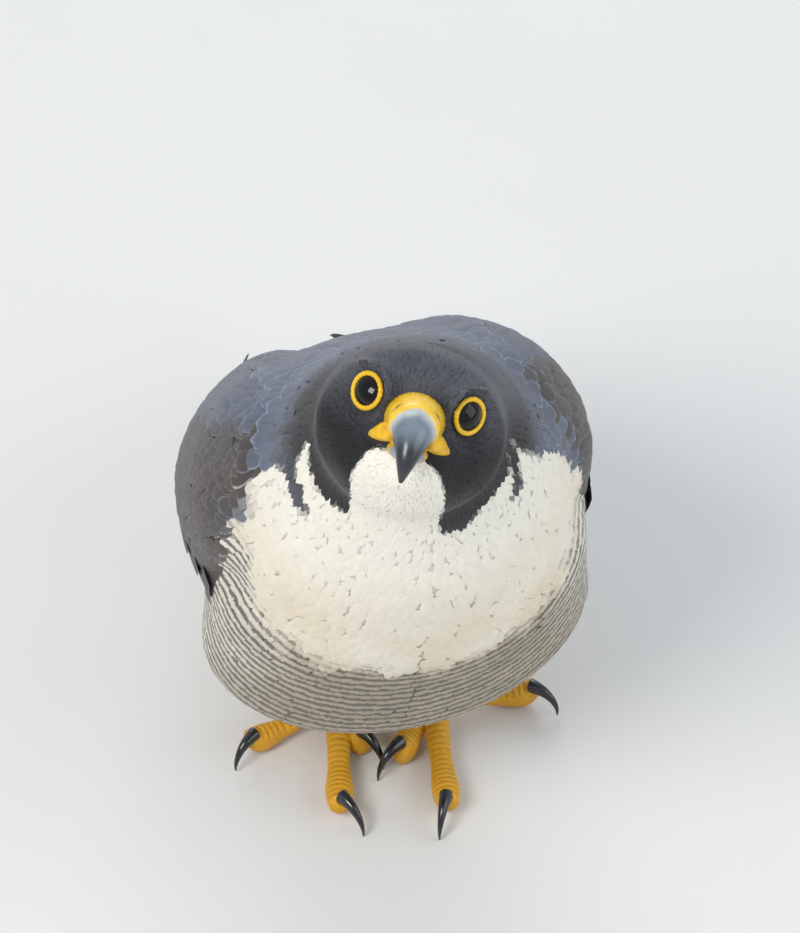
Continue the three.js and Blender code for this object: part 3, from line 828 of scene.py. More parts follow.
class WingMap:
    """Finds where a point lies on a fore wing: whether it does, and its shares along and across."""

    ROWS, COLUMNS = 50, 40

    def __init__(self) -> None:
        """Fills a tree of points on both fore wings' outer faces."""
        self.t = np.linspace(0.004, 0.6, self.ROWS)
        self.v = np.linspace(0.0, 1.0, self.COLUMNS)
        t, v = np.meshgrid(self.t, self.v, indexing="ij")
        bed = WING_SPINE.skin(t, wing_angle(t, v), arm_stand(t, v)).reshape(-1, 3)
        self.tree = KDTree(2 * len(bed))
        for i, point in enumerate(np.concatenate([lean(bed), lean(bed * (-1, 1, 1))])):
            self.tree.insert(point, i % len(bed))
        self.tree.balance()

    def at(self, p: Array) -> tuple[Array, Array, Array]:
        """Places points on a fore wing.

        Args:
            p: points of the bird.

        Returns:
            How much each point is on a wing, its share along it and its share across it.
        """
        found = [self.tree.find(point) for point in p]
        index = np.array([f[1] for f in found])
        t, v = self.t[index // self.COLUMNS], self.v[index % self.COLUMNS]
        on = (1 - ramp(np.array([f[2] for f in found]), 3.0, 3.8)) * ((v > 0.015) & (v < 0.985))
        return on * (t < 0.59), t, v


@dataclass(frozen=True)
class Markings:
    """The bird's colours as a function of the place on it."""

    body: BodyMap
    wing: WingMap
    hood: str = "4a4b52"
    hood_dark: str = "1b1b1d"
    slate: str = "59606f"
    rump: str = "76838f"
    covert: str = "4a4442"
    cream: str = "e9e1cf"
    buff: str = "d9c4a0"
    white: str = "ece7da"
    flank: str = "dad4c7"
    # belly is painted shade: a darker, browner colour for the trunk's underside, standing for the shadow under
    # the overhanging belly
    belly: str = "a3977f"
    ink: str = "453c31"
    bar_pitch: float = 4.6

    def pale(self, q: Array, t: Array, angle: Array, noise: Array) -> Array:
        """How much of a place is pale: by the face's outline in front, by the angle round the trunk below.

        Args:
            q: places in the head's frame.
            t: shares along the trunk.
            angle: degrees from the middle of the back.
            noise: unevenness of the border from -1 to 1.

        Returns:
            A value from 0, dark, to 1, pale.
        """
        front = ramp(inside(q[:, [0, 2]], PALE_FACE) + 0.5 * noise, -0.5, 0.5)
        line = np.where(angle < 0, 92.0, 98.0) + 3 * noise
        below = ramp(np.abs(angle), line - 2, line + 2)
        return mix(below, front, ramp(t, 0.69, 0.74))

    def at(self, p: Array, draw: Array) -> Marks:
        """Markings at places on the skin.

        Args:
            p: points of the bird in millimetres.
            draw: one random number from 0 to 1 for each point.

        Returns:
            The markings.
        """
        q = to_head(p)
        t, angle, run = self.body.at(p)
        on_wing, wing_t, wing_v = self.wing.at(p)
        side = np.abs(angle)
        noise, wide, fine = ripple(p, 17), ripple(p, 41), ripple(p, 7)
        on_head = 1 - ramp(head_round(q), 1.0, 1.3)
        back = mix(linear(self.rump), linear(self.slate), ramp(t, 0.2, 0.5)[:, None])
        back = back * (1 + 0.14 * wide[:, None])
        dark = mix(back, linear(self.hood), np.maximum(on_head, ramp(t, 0.78, 0.9))[:, None])
        face = ramp(0.2 * np.abs(q[:, 0]) - q[:, 2], -2, 16) * ramp(-q[:, 1], -54, -36)
        face = face * (1 - ramp(head_round(q), 1.35, 1.9))
        dark = mix(dark, linear(self.hood_dark), face[:, None])
        # The hood is darkened by up to 15% in patches drawn from ripple noise
        noise_patches = ramp(fine * 0.5 + noise, 0.1, 0.9) * on_head
        dark = dark * (1 - 0.15 * noise_patches[:, None])
        buff = np.clip(0.3 + 0.5 * wide, 0, 1) * ramp(-t, -0.74, -0.6)
        breast = mix(linear(self.cream), linear(self.buff), (0.75 * buff)[:, None])
        breast = mix(breast, linear(self.white), ramp(t, 0.7, 0.8)[:, None])
        right_edge = mix(0.575, 0.665, ramp(-side, -125, -98))
        left_edge = mix(0.57, 0.6, ramp(-side, -112, -98))
        edge = np.where(angle < 0, right_edge, left_edge)
        bar = 1 - ramp(t + 0.012 * noise, edge - 0.02, edge + 0.02)
        # Painted shade: past 115 degrees from the back the pale flank colour darkens towards the belly colour,
        # fully so past 150 degrees, as the shadow under the overhanging belly
        low = mix(linear(self.belly), linear(self.flank), ramp(-side, -150, -115)[:, None])
        low = low * (1 + 0.1 * wide[:, None])
        front = mix(breast, low, bar[:, None])
        pale = self.pale(q, t, angle, noise) * (1 - on_wing)
        bluer = np.clip(ramp(wing_t, 0.22, 0.5) * 0.8 + 0.2 * wide, 0, 1)
        covert = mix(linear(self.covert), linear(self.slate) * 0.8, bluer[:, None])
        covert = mix(linear(self.slate), covert, ramp(wing_v + 0.05 * noise, 0.3, 0.42)[:, None])
        dark = mix(dark, covert, on_wing[:, None])
        plume = mix(dark, front, pale[:, None])
        plume = plume * (1 + (draw[:, None] - 0.5) * mix(0.3, 0.06, pale)[:, None])
        spotted = (draw > 0.988) * pale * (t > 0.55) * (t < 0.72)
        on_back = (1 - pale) * (1 - on_head)
        return Marks(
            plume=plume,
            ink=np.broadcast_to(linear(self.ink), plume.shape),
            edge=0.8 * on_back * ramp(-t, -0.86, -0.76) * (1 - 0.45 * on_wing),
            bar=bar * pale * 0.85,
            shaft=0.5 * spotted + 0.25 * on_back,
            run=run / self.bar_pitch,
        )


# Vanes, each with a patch of this size at its root's place in the skin's unwrap

BAKE_PATCH = 0.003


@dataclass
class Vanes:
    """A batch of thin closed vanes, each a grid of rows along it and columns across it.

    A point is centre + across * u * width + out * (camber (1 - u^2) width + tilt u half) + along * notch, where
    u runs from -1 to 1 across the vane, width is half times the share that widths() gives, and the notch of a
    ragged tip grows with the cube of the share along. The lower face hangs thick * (1 - u^2) below the upper one.
    """

    centres: Array
    across: Array
    out: Array
    half: Array
    marks: Marks
    columns: int = 5
    tip: float = 2.2
    waist: float = 0.6
    camber: float = 0.12
    tilt: float = 0.0
    ragged: float = 0.1
    thick: float = 0.1
    curl: float = 0.25
    seat: Array | None = None

    def widths(self, rows: int) -> Array:
        """The share of the full width at each row: narrow at the root, rounded or pointed at the tip.

        Args:
            rows: points along a vane.

        Returns:
            One share for each row.
        """
        v = np.linspace(0, 1, rows)
        body = mix(self.waist, 1.0, np.minimum(1, v * 2.4))
        end = np.sqrt(np.maximum(0.0, 1 - (np.maximum(v - 0.5, 0) / 0.51) ** self.tip))
        return body * end

    def soften(self, obj: Object, facing: Array, each: int, grid: int, upper: int) -> None:
        """Splits the shading along each vane's outline, and turns both faces' normals to the lie of the coat.

        Args:
            obj: the vanes' object.
            facing: the way out of the coat at each point.
            each: points in a vane.
            grid: points of its upper side, numbered first.
            upper: quads of its upper side, numbered first.
        """
        mesh = obj.data
        rows = grid // self.columns
        place = np.arange(grid)
        rim = (place // self.columns % (rows - 1) == 0) | (place % self.columns % (self.columns - 1) == 0)
        rim = np.concatenate([rim, np.zeros(each - grid, bool)])
        ends = np.zeros(len(mesh.edges) * 2, np.int32)
        mesh.edges.foreach_get("vertices", ends)
        sharp = rim[ends.reshape(-1, 2) % each].all(1)
        mesh.attributes.new("sharp_edge", "BOOLEAN", "EDGE").data.foreach_set("value", sharp)
        corners = np.zeros(len(mesh.loops), np.int32)
        mesh.loops.foreach_get("vertex_index", corners)
        sign = np.where(np.arange(len(corners)) // 4 % (2 * upper) < upper, 1.0, -1.0)
        mesh.normals_split_custom_set((facing[corners] * sign[:, None]).tolist())

    def build(self, name: str, rng: np.random.Generator) -> Object:
        """Makes the mesh with its attributes and UV maps.

        Args:
            name: the piece's name.
            rng: where the ragged tips and the places in the barbs' noise are drawn from.

        Returns:
            The piece, not yet dressed.
        """
        n, rows, _ = self.centres.shape
        columns = self.columns
        u = np.linspace(-1, 1, columns)[None, None, :]
        v = np.linspace(0, 1, rows)[None, :, None]
        length = np.linalg.norm(np.diff(self.centres, axis=1), axis=2).sum(1)[:, None, None]
        along = unit(np.gradient(self.centres, axis=1))
        width = self.half[:, None, None] * self.widths(rows)[None, :, None]
        span = np.minimum(length, 4.5 * self.half[:, None, None])
        notch = rng.uniform(-1, 1, (n, 1, columns)) * self.ragged - 0.1 * np.abs(u) ** 2.2
        high = self.camber * (1 - u**2) * width + self.tilt * u * self.half[:, None, None]
        top = (
            self.centres[:, :, None]
            + self.across[:, :, None] * (u * width)[..., None]
            + self.out[:, :, None] * high[..., None]
            + along[:, :, None] * (notch * span * v**3)[..., None]
        )
        inner = (slice(None), slice(1, rows - 1), slice(1, columns - 1))
        under = top - self.out[:, :, None] * (self.thick * (1 - u**2))[..., None]
        grid = np.arange(rows * columns).reshape(rows, columns)
        lower = grid.copy()
        below = np.arange((rows - 2) * (columns - 2)).reshape(rows - 2, columns - 2)
        lower[1:-1, 1:-1] = rows * columns + below
        upper_faces = np.stack([grid[:-1, :-1], grid[:-1, 1:], grid[1:, 1:], grid[1:, :-1]], -1)
        upper_faces = upper_faces.reshape(-1, 4)
        lower_faces = np.stack([lower[:-1, :-1], lower[1:, :-1], lower[1:, 1:], lower[:-1, 1:]], -1)
        lower_faces = lower_faces.reshape(-1, 4)
        each = rows * columns + (rows - 2) * (columns - 2)
        faces = np.concatenate([upper_faces, lower_faces])
        faces = (faces[None] + (np.arange(n) * each)[:, None, None]).reshape(-1, 4)
        normal = np.cross(top[:, 1, 2] - top[:, 1, 1], top[:, 2, 1] - top[:, 1, 1])
        if (np.einsum("ij,ij->i", normal, self.out[:, 1]) < 0).mean() > 0.5:
            faces = faces[:, ::-1]

        def spread(values: Array, lower_values: Array | None = None) -> Array:
            """Rows for the mesh's points: all of the upper face's, then the inner ones of the lower face.

            Args:
                values: the upper face's, by vane, row and column.
                lower_values: the lower face's, if they differ.

            Returns:
                One row for each point of the mesh.
            """
            lower_values = values if lower_values is None else lower_values
            flat = values.reshape(n, rows * columns, -1)
            hidden = lower_values[inner].reshape(n, (rows - 2) * (columns - 2), -1)
            return np.concatenate([flat, hidden], 1).reshape(n * each, -1)

        points = spread(top, under)
        obj = new_object(name, points, faces)
        full = (n, rows, columns)
        facing = unit(
            self.out[:, :, None]
            + self.across[:, :, None] * (self.curl * u)[..., None]
            + along[:, :, None] * (0.12 * v)[..., None]
        )
        self.soften(obj, spread(facing), each, rows * columns, len(upper_faces))
        rim = np.broadcast_to(np.maximum(np.abs(u), v), full)
        from_tip = np.broadcast_to((1 - v) * length, full)
        run = self.marks.run if self.marks.run.ndim == 3 else self.marks.run[:, None, None]
        run = np.broadcast_to(run, full)
        marks = np.stack([self.marks.edge, self.marks.bar, self.marks.shaft], -1)[:, None, None]
        plume = np.broadcast_to(self.marks.plume[:, None, None], (*full, 3))
        ink = np.broadcast_to(self.marks.ink[:, None, None], (*full, 3))
        set_attribute(obj, "Plume", "FLOAT_COLOR", colours(spread(plume)))
        set_attribute(obj, "Ink", "FLOAT_COLOR", colours(spread(ink)))
        set_attribute(obj, "Marks", "FLOAT_VECTOR", spread(np.broadcast_to(marks, (*full, 3))))
        set_attribute(obj, "Rim", "FLOAT", spread(rim[..., None]))
        set_attribute(obj, "Run", "FLOAT", spread(run[..., None]))
        own = rng.uniform(0, 50, (n, 1, 1))
        vane_uv = np.stack([np.broadcast_to(u * width, full), from_tip + own], -1)
        set_uv(obj, "Vane", spread(vane_uv))
        if self.seat is None:
            wide = math.ceil(math.sqrt(n))
            cell = np.stack([np.arange(n) % wide, np.arange(n) // wide], -1)[:, None, None] / wide
            patch = [np.broadcast_to(0.5 + 0.46 * u, full), np.broadcast_to(0.04 + 0.92 * v, full)]
            bake = cell + np.stack(patch, -1) / wide
        else:
            patch = [np.broadcast_to(u * 0.5, full), np.broadcast_to(v - 0.5, full)]
            bake = self.seat[:, None, None] + np.stack(patch, -1) * BAKE_PATCH
        set_uv(obj, "OFBake", spread(bake))
        return obj


# Body


@dataclass
class Skin:
    """The bird's one skin: trunk, belly, head, thighs and the fleshy fore wings in one closed surface."""

    body_depth: float = 1.6
    head_depth: float = 0.8
    voxel: float = 1.7
    knee: tuple = (30.0, -20.0, 84.0)
    feet: dict = field(default_factory=lambda: {"right": (-9.5, 2.6), "left": (23.5, -2.6)})

    def trunk(self) -> tuple[Array, list]:
        """The trunk's points and faces, on a grid of shares along and angles."""
        t, angle = around_and_along(np.linspace(0, 1, 90), 96)
        return tube_mesh(lean(TRUNK_SPINE.skin(t, angle, -self.body_depth)))

    def belly(self) -> tuple[Array, list]:
        """The hull round three balls: each point is a ball's centre plus its radii times a unit direction.

        Returns:
            Points and faces.
        """
        up, round_ = around_and_along(np.linspace(0, np.pi, 30), 48)
        way = np.stack([np.sin(up) * np.cos(round_), np.sin(up) * np.sin(round_), np.cos(up)], -1).reshape(-1, 3)
        balls = []
        for fore, height, wide, deep in BELLY:
            size = np.array([wide, deep, deep]) - self.body_depth
            balls.append(np.array([0, -fore, height]) + way * size)
        mesh = bmesh.new()
        for point in lean(np.concatenate(balls)):
            mesh.verts.new(point)
        bmesh.ops.convex_hull(mesh, input=mesh.verts)
        bmesh.ops.delete(mesh, geom=[v for v in mesh.verts if not v.link_faces], context="VERTS")
        mesh.verts.index_update()
        points = np.array([v.co for v in mesh.verts])
        faces = [[v.index for v in f.verts] for f in mesh.faces]
        mesh.free()
        return points, faces

    def head(self) -> tuple[Array, list]:
        """The head's rings, drawn in by the depth of its short feathers."""
        return tube_mesh(from_head(sections(HEAD_SECTIONS, 60, 72, -self.head_depth)))

    def brow(self, side: int) -> tuple[Array, list]:
        """The ridge of the brow over an eye, as a bent bar.

        Args:
            side: 1 for the bird's left, -1 for its right.

        Returns:
            Points and faces.
        """
        path = np.array([(9.0, -24.5, 5.0), (12.5, -21, 8.6), (17.5, -14.5, 9.4), (20, -6, 7.5)]) * (side, 1, 1)
        sizes = np.array([(1.4, 1.0, 1.6), (2.4, 1.4, 2.4), (2.8, 1.2, 2.6), (2, 0.8, 2)])
        return tube_mesh(from_head(bar(path, sizes, np.array([-1.0, 0, 0]), 16, 16)))

    def thigh(self, name: str, side: int) -> tuple[Array, list]:
        """A thigh, from the flank over the knee to the ankle.

        Args:
            name: which foot it ends over.
            side: 1 for the bird's left, -1 for its right.

        Returns:
            Points and faces.
        """
        x, y = self.feet[name]
        knee = np.array([side * self.knee[0], self.knee[1], self.knee[2]])
        hip = np.array([x + side * 9, y + 28, 54.0])
        path = np.array([
            knee + (0, -8, 26), knee, mix(knee, hip, 0.45) + (0, -2, -8), mix(knee, hip, 0.8) + (0, -3, -7),
            hip + (0, -5, -9),
        ])
        sizes = np.array([(20, 24, 24), (24, 27, 27), (21, 23, 22), (14, 15, 13), (8, 8, 7)], float)
        return tube_mesh(bar(path, sizes, np.array([1.0, 0, 0]), 30, 40, -self.body_depth) + SHIFT)

    def arm(self, side: int) -> tuple[Array, list]:
        """A fore wing: an outer face that stands off the wing's bed, and a flat inner one.

        Args:
            side: 1 for the bird's left, -1 for its right.

        Returns:
            Points and faces.
        """
        share = np.linspace(0, 1, 40)[:, None]
        v = np.linspace(0.03, 0.97, 24)[None]
        t = mix(0.004, ARM_END, share)
        whole = np.broadcast_to(t, (40, 24))
        angle = wing_angle(whole, np.broadcast_to(v, (40, 24)))
        outer = WING_SPINE.skin(whole, angle, arm_stand(whole, v) - self.body_depth)
        inner = WING_SPINE.skin(whole, angle, -5.0)[:, ::-1]
        rings = np.concatenate([outer, inner], 1)
        rings[..., 0] *= side
        return tube_mesh(lean(rings))

    def smooth(self, obj: Object) -> None:
        """Evens the surface a little all over, and far more behind the head and on the upper body.

        Args:
            obj: the joined skin, which is the active object.
        """
        points = np.zeros(len(obj.data.vertices) * 3, np.float32)
        obj.data.vertices.foreach_get("co", points)
        p = points.reshape(-1, 3).astype(float) / MM
        q = to_head(p)
        band = ramp(head_round(q), 0.8, 0.92) * (1 - ramp(head_round(q), 1.6, 2.1))
        nape = band * np.maximum(ramp(q[:, 1], -8, 2), ramp(-q[:, 2], 20, 28))
        body = ramp(head_round(q), 1.2, 1.6) * ramp(p[:, 2], 95, 115)
        group = obj.vertex_groups.new(name="loose")
        for weight in (0.25, 0.5, 0.75, 1.0):
            chosen = np.flatnonzero(np.maximum(nape, body) > weight - 0.125)
            group.add(chosen.tolist(), weight, "REPLACE")
        for name, rounds, where in (("even", 7, ""), ("loose", 90, "loose")):
            smooth = obj.modifiers.new(name, "SMOOTH")
            smooth.factor, smooth.iterations, smooth.vertex_group = 0.5, rounds, where
            bpy.ops.object.modifier_apply(modifier=name)

    def sink_orbits(self, obj: Object) -> None:
        """Levels the skin behind each ring of lids: its depth along the gaze is set just behind the ring.

        Args:
            obj: the joined skin.
        """
        points = np.zeros(len(obj.data.vertices) * 3, np.float32)
        obj.data.vertices.foreach_get("co", points)
        q = to_head(points.reshape(-1, 3).astype(float) / MM)
        for side in (1, -1):
            gaze = gaze_of(side)
            off = q - np.array(EYE_AT) * (side, 1, 1)
            deep = off @ gaze
            reach = np.linalg.norm(off - gaze * deep[:, None], axis=1)
            level = np.where(reach < RING_RADIUS - 0.8, -2.2, -0.9)
            share = (1 - ramp(reach, RING_RADIUS + 1.6, RING_RADIUS + 4.2)) * (deep < 12) * (deep > -11)
            q = q + gaze * ((level - deep) * share)[:, None]
        obj.data.vertices.foreach_set("co", (from_head(q) * MM).astype(np.float32).ravel())
        obj.data.update()

    def build(self) -> Object:
        """Joins the parts, remeshes them as one surface, smooths it and unwraps it.

        Returns:
            The skin, not yet dressed.
        """
        parts = [self.trunk(), self.belly(), self.head(), self.brow(1), self.brow(-1)]
        parts += [self.thigh("left", 1), self.thigh("right", -1), self.arm(1), self.arm(-1)]
        points, faces, start = [], [], 0
        for part_points, part_faces in parts:
            points.append(part_points)
            faces += [[i + start for i in face] for face in part_faces]
            start += len(part_points)
        obj = new_object("skin", np.concatenate(points), faces)
        bpy.context.view_layer.objects.active = obj
        obj.data.remesh_voxel_size = self.voxel * MM
        obj.data.remesh_voxel_adaptivity = 0.0
        bpy.ops.object.voxel_remesh()
        self.smooth(obj)
        obj.data.polygons.foreach_set("use_smooth", np.full(len(obj.data.polygons), True))
        self.sink_orbits(obj)
        bpy.ops.object.select_all(action="DESELECT")
        obj.select_set(True)
        bpy.ops.object.mode_set(mode="EDIT")
        bpy.ops.mesh.select_all(action="SELECT")
        bpy.ops.uv.smart_project(angle_limit=math.radians(66), island_margin=0.004)
        bpy.ops.object.mode_set(mode="OBJECT")
        obj.data.uv_layers[0].name = "OFBake"
        return obj


def gaze_of(side: int) -> Array:
    """The way an eye looks, in the head's frame."""
    out, up = math.radians(EYE_OUTWARD), math.radians(EYE_UPWARD)
    return np.array([side * math.sin(out) * math.cos(up), -math.cos(out) * math.cos(up), math.sin(up)])


def wing_angle(t: Array, v: Array) -> Array:
    """The angle on the wing's bed, in radians.

    Args:
        t: shares along the wing.
        v: shares of the way from its upper edge to its lower one.

    Returns:
        Angles from the middle of the back.
    """
    edges = np.array(WING_EDGES, float)
    place = t * (len(edges) - 1)
    i = np.minimum(len(edges) - 2, place.astype(int))
    share = (place - i)[..., None]
    upper_lower = mix(edges[i], edges[i + 1], share)
    return np.radians(mix(upper_lower[..., 0], upper_lower[..., 1], v))


def arm_stand(t: Array, v: Array) -> Array:
    """How far a fore wing's outer face stands off the bed: thick at the shoulder, thin behind and at its edges.

    Args:
        t: shares along the wing.
        v: shares across it.

    Returns:
        Heights over the bed.
    """
    share = t / ARM_END
    stand = mix(7.0, 1.6, np.minimum(share, 1) ** 0.8) * np.minimum(1, 0.35 + share * 4)
    return stand * np.sqrt(np.maximum(0.02, 1 - (2 * v - 1) ** 4))


@dataclass(frozen=True)
class Plumage:
    """How one region's feathers are made: finish, slot, grid, size against their spacing, and their looseness."""

    finish: Finish
    slot: str = "body_feathers"
    rows: int = 6
    columns: int = 5
    length: float = 3.0
    half: float = 0.8
    rise: float = 0.2
    ragged: float = 0.16
    tip: float = 2.0
    swing: float = 0.12


class Region(Enum):
    """The pieces that the coat is made in."""

    FACE = Plumage(Finish.HOOD, "hood_feathers", 4, 3, 3.4, 0.7, 0.14, 0.1, 2.0, 0.1)
    THROAT = Plumage(Finish.BODY, "hood_feathers", 4, 3, 3.6, 0.7, 0.1, 0.12, 2.0, 0.14)
    CROWN = Plumage(Finish.HOOD, "hood_feathers", 4, 3, 3.4, 0.7, 0.16, 0.1, 2.0, 0.12)
    NECK = Plumage(Finish.BODY, rows=5, columns=5, length=3.8, half=0.75, rise=0.1, ragged=0.08, swing=0.14)
    NAPE = Plumage(Finish.HOOD, rows=5, columns=5, length=3.4, half=0.75, rise=0.14, ragged=0.06)
    BREAST = Plumage(Finish.BODY, rows=6, columns=5, length=4.0, half=0.8, rise=0.07, ragged=0.05, swing=0.16)
    BELLY = Plumage(Finish.BODY, rows=6, columns=5, length=3.6, half=0.8, rise=0.12, ragged=0.06, swing=0.1)
    THIGHS = Plumage(Finish.BODY, rows=6, columns=5, length=3.4, half=0.8, rise=0.14, ragged=0.07)
    MANTLE = Plumage(
        Finish.SLATE, rows=8, columns=7, length=2.7, half=0.9, rise=0.16, ragged=0.03, tip=2.6, swing=0.07
    )
    RUMP = Plumage(Finish.SLATE, rows=6, columns=5, length=3.0, half=0.85, rise=0.16, ragged=0.05, swing=0.08)
    COVERTS = Plumage(Finish.FLIGHT, "flight_feathers", 7, 5, 2.8, 0.85, 0.2, 0.05, 2.2, 0.3)


@dataclass
class Coat:
    """The small feathers: roots spread evenly over the skin, each bent over it along the lie of the coat."""

    skin: Object
    body: BodyMap
    wing: WingMap
    markings: Markings
    candidates: int = 260000

    def __post_init__(self) -> None:
        """Reads the skin's surface."""
        mesh = self.skin.data
        self.points = np.zeros(len(mesh.vertices) * 3, np.float32)
        mesh.vertices.foreach_get("co", self.points)
        self.points = self.points.reshape(-1, 3).astype(float) / MM
        mesh.calc_loop_triangles()
        self.triangles = np.zeros(len(mesh.loop_triangles) * 3, np.int32)
        mesh.loop_triangles.foreach_get("vertices", self.triangles)
        self.triangles = self.triangles.reshape(-1, 3)
        self.loops = np.zeros(len(mesh.loop_triangles) * 3, np.int32)
        mesh.loop_triangles.foreach_get("loops", self.loops)
        self.loops = self.loops.reshape(-1, 3)
        self.uv = np.zeros(len(mesh.loops) * 2, np.float32)
        mesh.uv_layers["OFBake"].data.foreach_get("uv", self.uv)
        self.uv = self.uv.reshape(-1, 2)
        self.tree = BVHTree.FromPolygons(self.points.tolist(), self.triangles.tolist())
        t, v = np.meshgrid(np.linspace(0.43, 1, 60), np.linspace(0.06, 0.94, 24), indexing="ij")
        bed = WING_SPINE.skin(t, wing_angle(t, v), 2.0).reshape(-1, 3)
        self.vanes_tree = self.tree_of(lean(np.concatenate([bed, bed * (-1, 1, 1)])))
        bare = [sections(UPPER_BILL, 30, 40), gape_rings(1, 0.4), gape_rings(-1, 0.4)]
        self.bare_tree = self.tree_of(np.concatenate([rings.reshape(-1, 3) for rings in bare]))

    def tree_of(self, points: Array) -> KDTree:
        """A search tree of points.

        Args:
            points: rows of x, y, z.

        Returns:
            The balanced tree.
        """
        tree = KDTree(len(points))
        for i, point in enumerate(points):
            tree.insert(point, i)
        tree.balance()
        return tree

    def spacing(self, p: Array) -> Array:
        """The distance between roots: smallest by the beak, largest on the mantle.

        Args:
            p: places on the skin.

        Returns:
            One distance for each place.
        """
        q = to_head(p)
        from_bill = np.linalg.norm(q - np.array(BILL_BASE), axis=1)
        head = 0.62 + 0.6 * ramp(from_bill, 10, 45)
        t, angle, _ = self.body.at(p)
        pale = self.markings.pale(q, t, angle, 0 * angle)
        back = ramp(-np.abs(angle), -100, -88) * (1 - pale)
        trunk = mix(2.6, 4.4, back)
        trunk = mix(trunk, 2.5, ramp(-p[:, 2], -80, -50))
        trunk = mix(trunk, 1.5, ramp(t, 0.74, 0.82) * ramp(np.abs(angle), 70, 85))
        on_wing, wing_t, _ = self.wing.at(p)
        trunk = mix(trunk, mix(3.0, 4.6, wing_t / 0.5), on_wing)
        return mix(head, trunk, ramp(head_round(q), 1.0, 1.9))

    def roots(self, rng: np.random.Generator) -> tuple[Array, Array, Array]:
        """Roots no closer than their spacing, from random places drawn evenly over the skin.

        Args:
            rng: where the places are drawn from.

        Returns:
            The roots, the spacing at each and its place in the skin's unwrap.
        """
        corner = self.points[self.triangles]
        area = np.linalg.norm(np.cross(corner[:, 1] - corner[:, 0], corner[:, 2] - corner[:, 0]), axis=1)
        area = area * mix(16.0, 1.0, ramp(head_round(to_head(corner.mean(1))), 1.0, 1.6))
        pick = rng.choice(len(area), self.candidates, p=area / area.sum())
        a, b = np.sqrt(rng.uniform(size=self.candidates)), rng.uniform(size=self.candidates)
        share = np.stack([1 - a, a * (1 - b), a * b], -1)[..., None]
        places = (corner[pick] * share).sum(1)
        keep = self.open_to_feathers(places)
        places, pick = places[keep], pick[keep]
        space = self.spacing(places)
        tree = self.tree_of(places)
        gone = np.zeros(len(places), bool)
        kept = []
        for i, place in enumerate(places):
            if gone[i]:
                continue
            kept.append(i)
            gone[[j for _, j, _ in tree.find_range(place, space[i])]] = True
        kept = np.array(kept)
        seat = self.uv[self.loops[pick[kept]]].mean(1)
        return places[kept], space[kept], seat

    def open_to_feathers(self, p: Array) -> Array:
        """Where feathers may root: not on the lids, the beak or the mouth's corners, nor under the folded wings.

        Args:
            p: places on the skin.

        Returns:
            Whether each may hold a root.
        """
        q = to_head(p)
        ok = np.array([self.vanes_tree.find(point)[2] for point in p]) > 4.0
        close = head_round(q) < 1.4
        near = np.full(len(p), 99.0)
        near[close] = [self.bare_tree.find(point)[2] for point in q[close]]
        ok &= near > 1.0
        s = np.array(UPPER_BILL, float)
        fore = -q[:, 1]
        wide, middle = np.interp(fore, s[:6, 0], s[:6, 2]), np.interp(fore, s[:6, 0], s[:6, 1])
        ok &= ~((fore > 20) & (np.abs(q[:, 0]) < wide) & (np.abs(q[:, 2] - middle) < 9.0))
        for side in (1, -1):
            gaze = gaze_of(side)
            for ahead in (0.0, 1.2, 2.2):
                off = q + unit(q - np.array(BILL_BASE)) * ahead - np.array(EYE_AT) * (side, 1, 1)
                deep = off @ gaze
                reach = np.linalg.norm(off - gaze * deep[:, None], axis=1)
                ok &= (reach > RING_RADIUS + RING_THICK + 0.25) | (np.abs(deep) > 9)
        return ok

    def lie(self, p: Array, normal: Array) -> Array:
        """The way the feathers point: away from the beak on the head, to the tail behind it, down on the legs.

        Args:
            p: places on the skin.
            normal: the way out of it at each.

        Returns:
            Directions along the skin.
        """
        q = to_head(p)
        down = ramp(np.abs(q[:, 0]), 6, 14) * ramp(-q[:, 2], 2, 14)
        away = unit(q - np.array(BILL_BASE)) + np.array([0, 0.9, 0]) - down[:, None] * np.array([0, 0, 0.5])
        away = unit(away) @ HEAD.T
        t, angle, _ = self.body.at(p)
        _, along, _, _ = TRUNK_SPINE.frame(t)
        tail = -along @ LEAN.T
        outward = np.zeros_like(p)
        outward[:, 0] = np.sign(p[:, 0]) * 0.15 * ramp(np.abs(angle), 90, 130)
        way = mix(away, unit(tail + outward), ramp(head_round(q), 1.0, 1.6)[:, None])
        leg = ramp(-p[:, 2], -88, -60)[:, None] * ramp(np.abs(angle), 100, 130)[:, None]
        way = mix(way, np.array([0, 0.45, -0.9]), leg)
        return unit(way - normal * np.einsum("ij,ij->i", way, normal)[:, None])

    def nearest(self, p: Array) -> tuple[Array, Array]:
        """The nearest places on the skin and the way out of it there."""
        found = [self.tree.find_nearest(point) for point in p]
        return np.array([f[0] for f in found]), np.array([f[1] for f in found])

    def trace(
        self, roots: Array, space: Array, how: Plumage, rng: np.random.Generator
    ) -> tuple[Array, Array, Array]:
        """Walks each feather's middle line over the skin and lifts it from the root to the tip.

        Args:
            roots: where the feathers start.
            space: the spacing at each root.
            how: the region's way of making them.
            rng: where the swing and the length are drawn from.

        Returns:
            The middle line, the way across and the way out, by feather and row.
        """
        place, normal = self.nearest(roots)
        way = self.lie(place, normal)
        way = unit(way + np.cross(normal, way) * rng.normal(0, how.swing, (len(roots), 1)))
        stride = (how.length * space * rng.uniform(0.85, 1.12, len(space)) / (how.rows - 1))[:, None]
        centres, across, out = [], [], []
        jitter = rng.uniform(0.0, 0.07, len(space))[:, None] * space[:, None]
        for row in range(how.rows):
            share = row / (how.rows - 1)
            lift = 0.05 + jitter + how.rise * space[:, None] * share**1.3
            centres.append(place + normal * lift)
            across.append(unit(np.cross(way, normal)))
            out.append(normal)
            place, normal = self.nearest(place + way * stride)
            normal = unit(mix(out[-1], normal, 0.7))
            way = unit(way - normal * np.einsum("ij,ij->i", way, normal)[:, None])
        return np.stack(centres, 1), np.stack(across, 1), np.stack(out, 1)

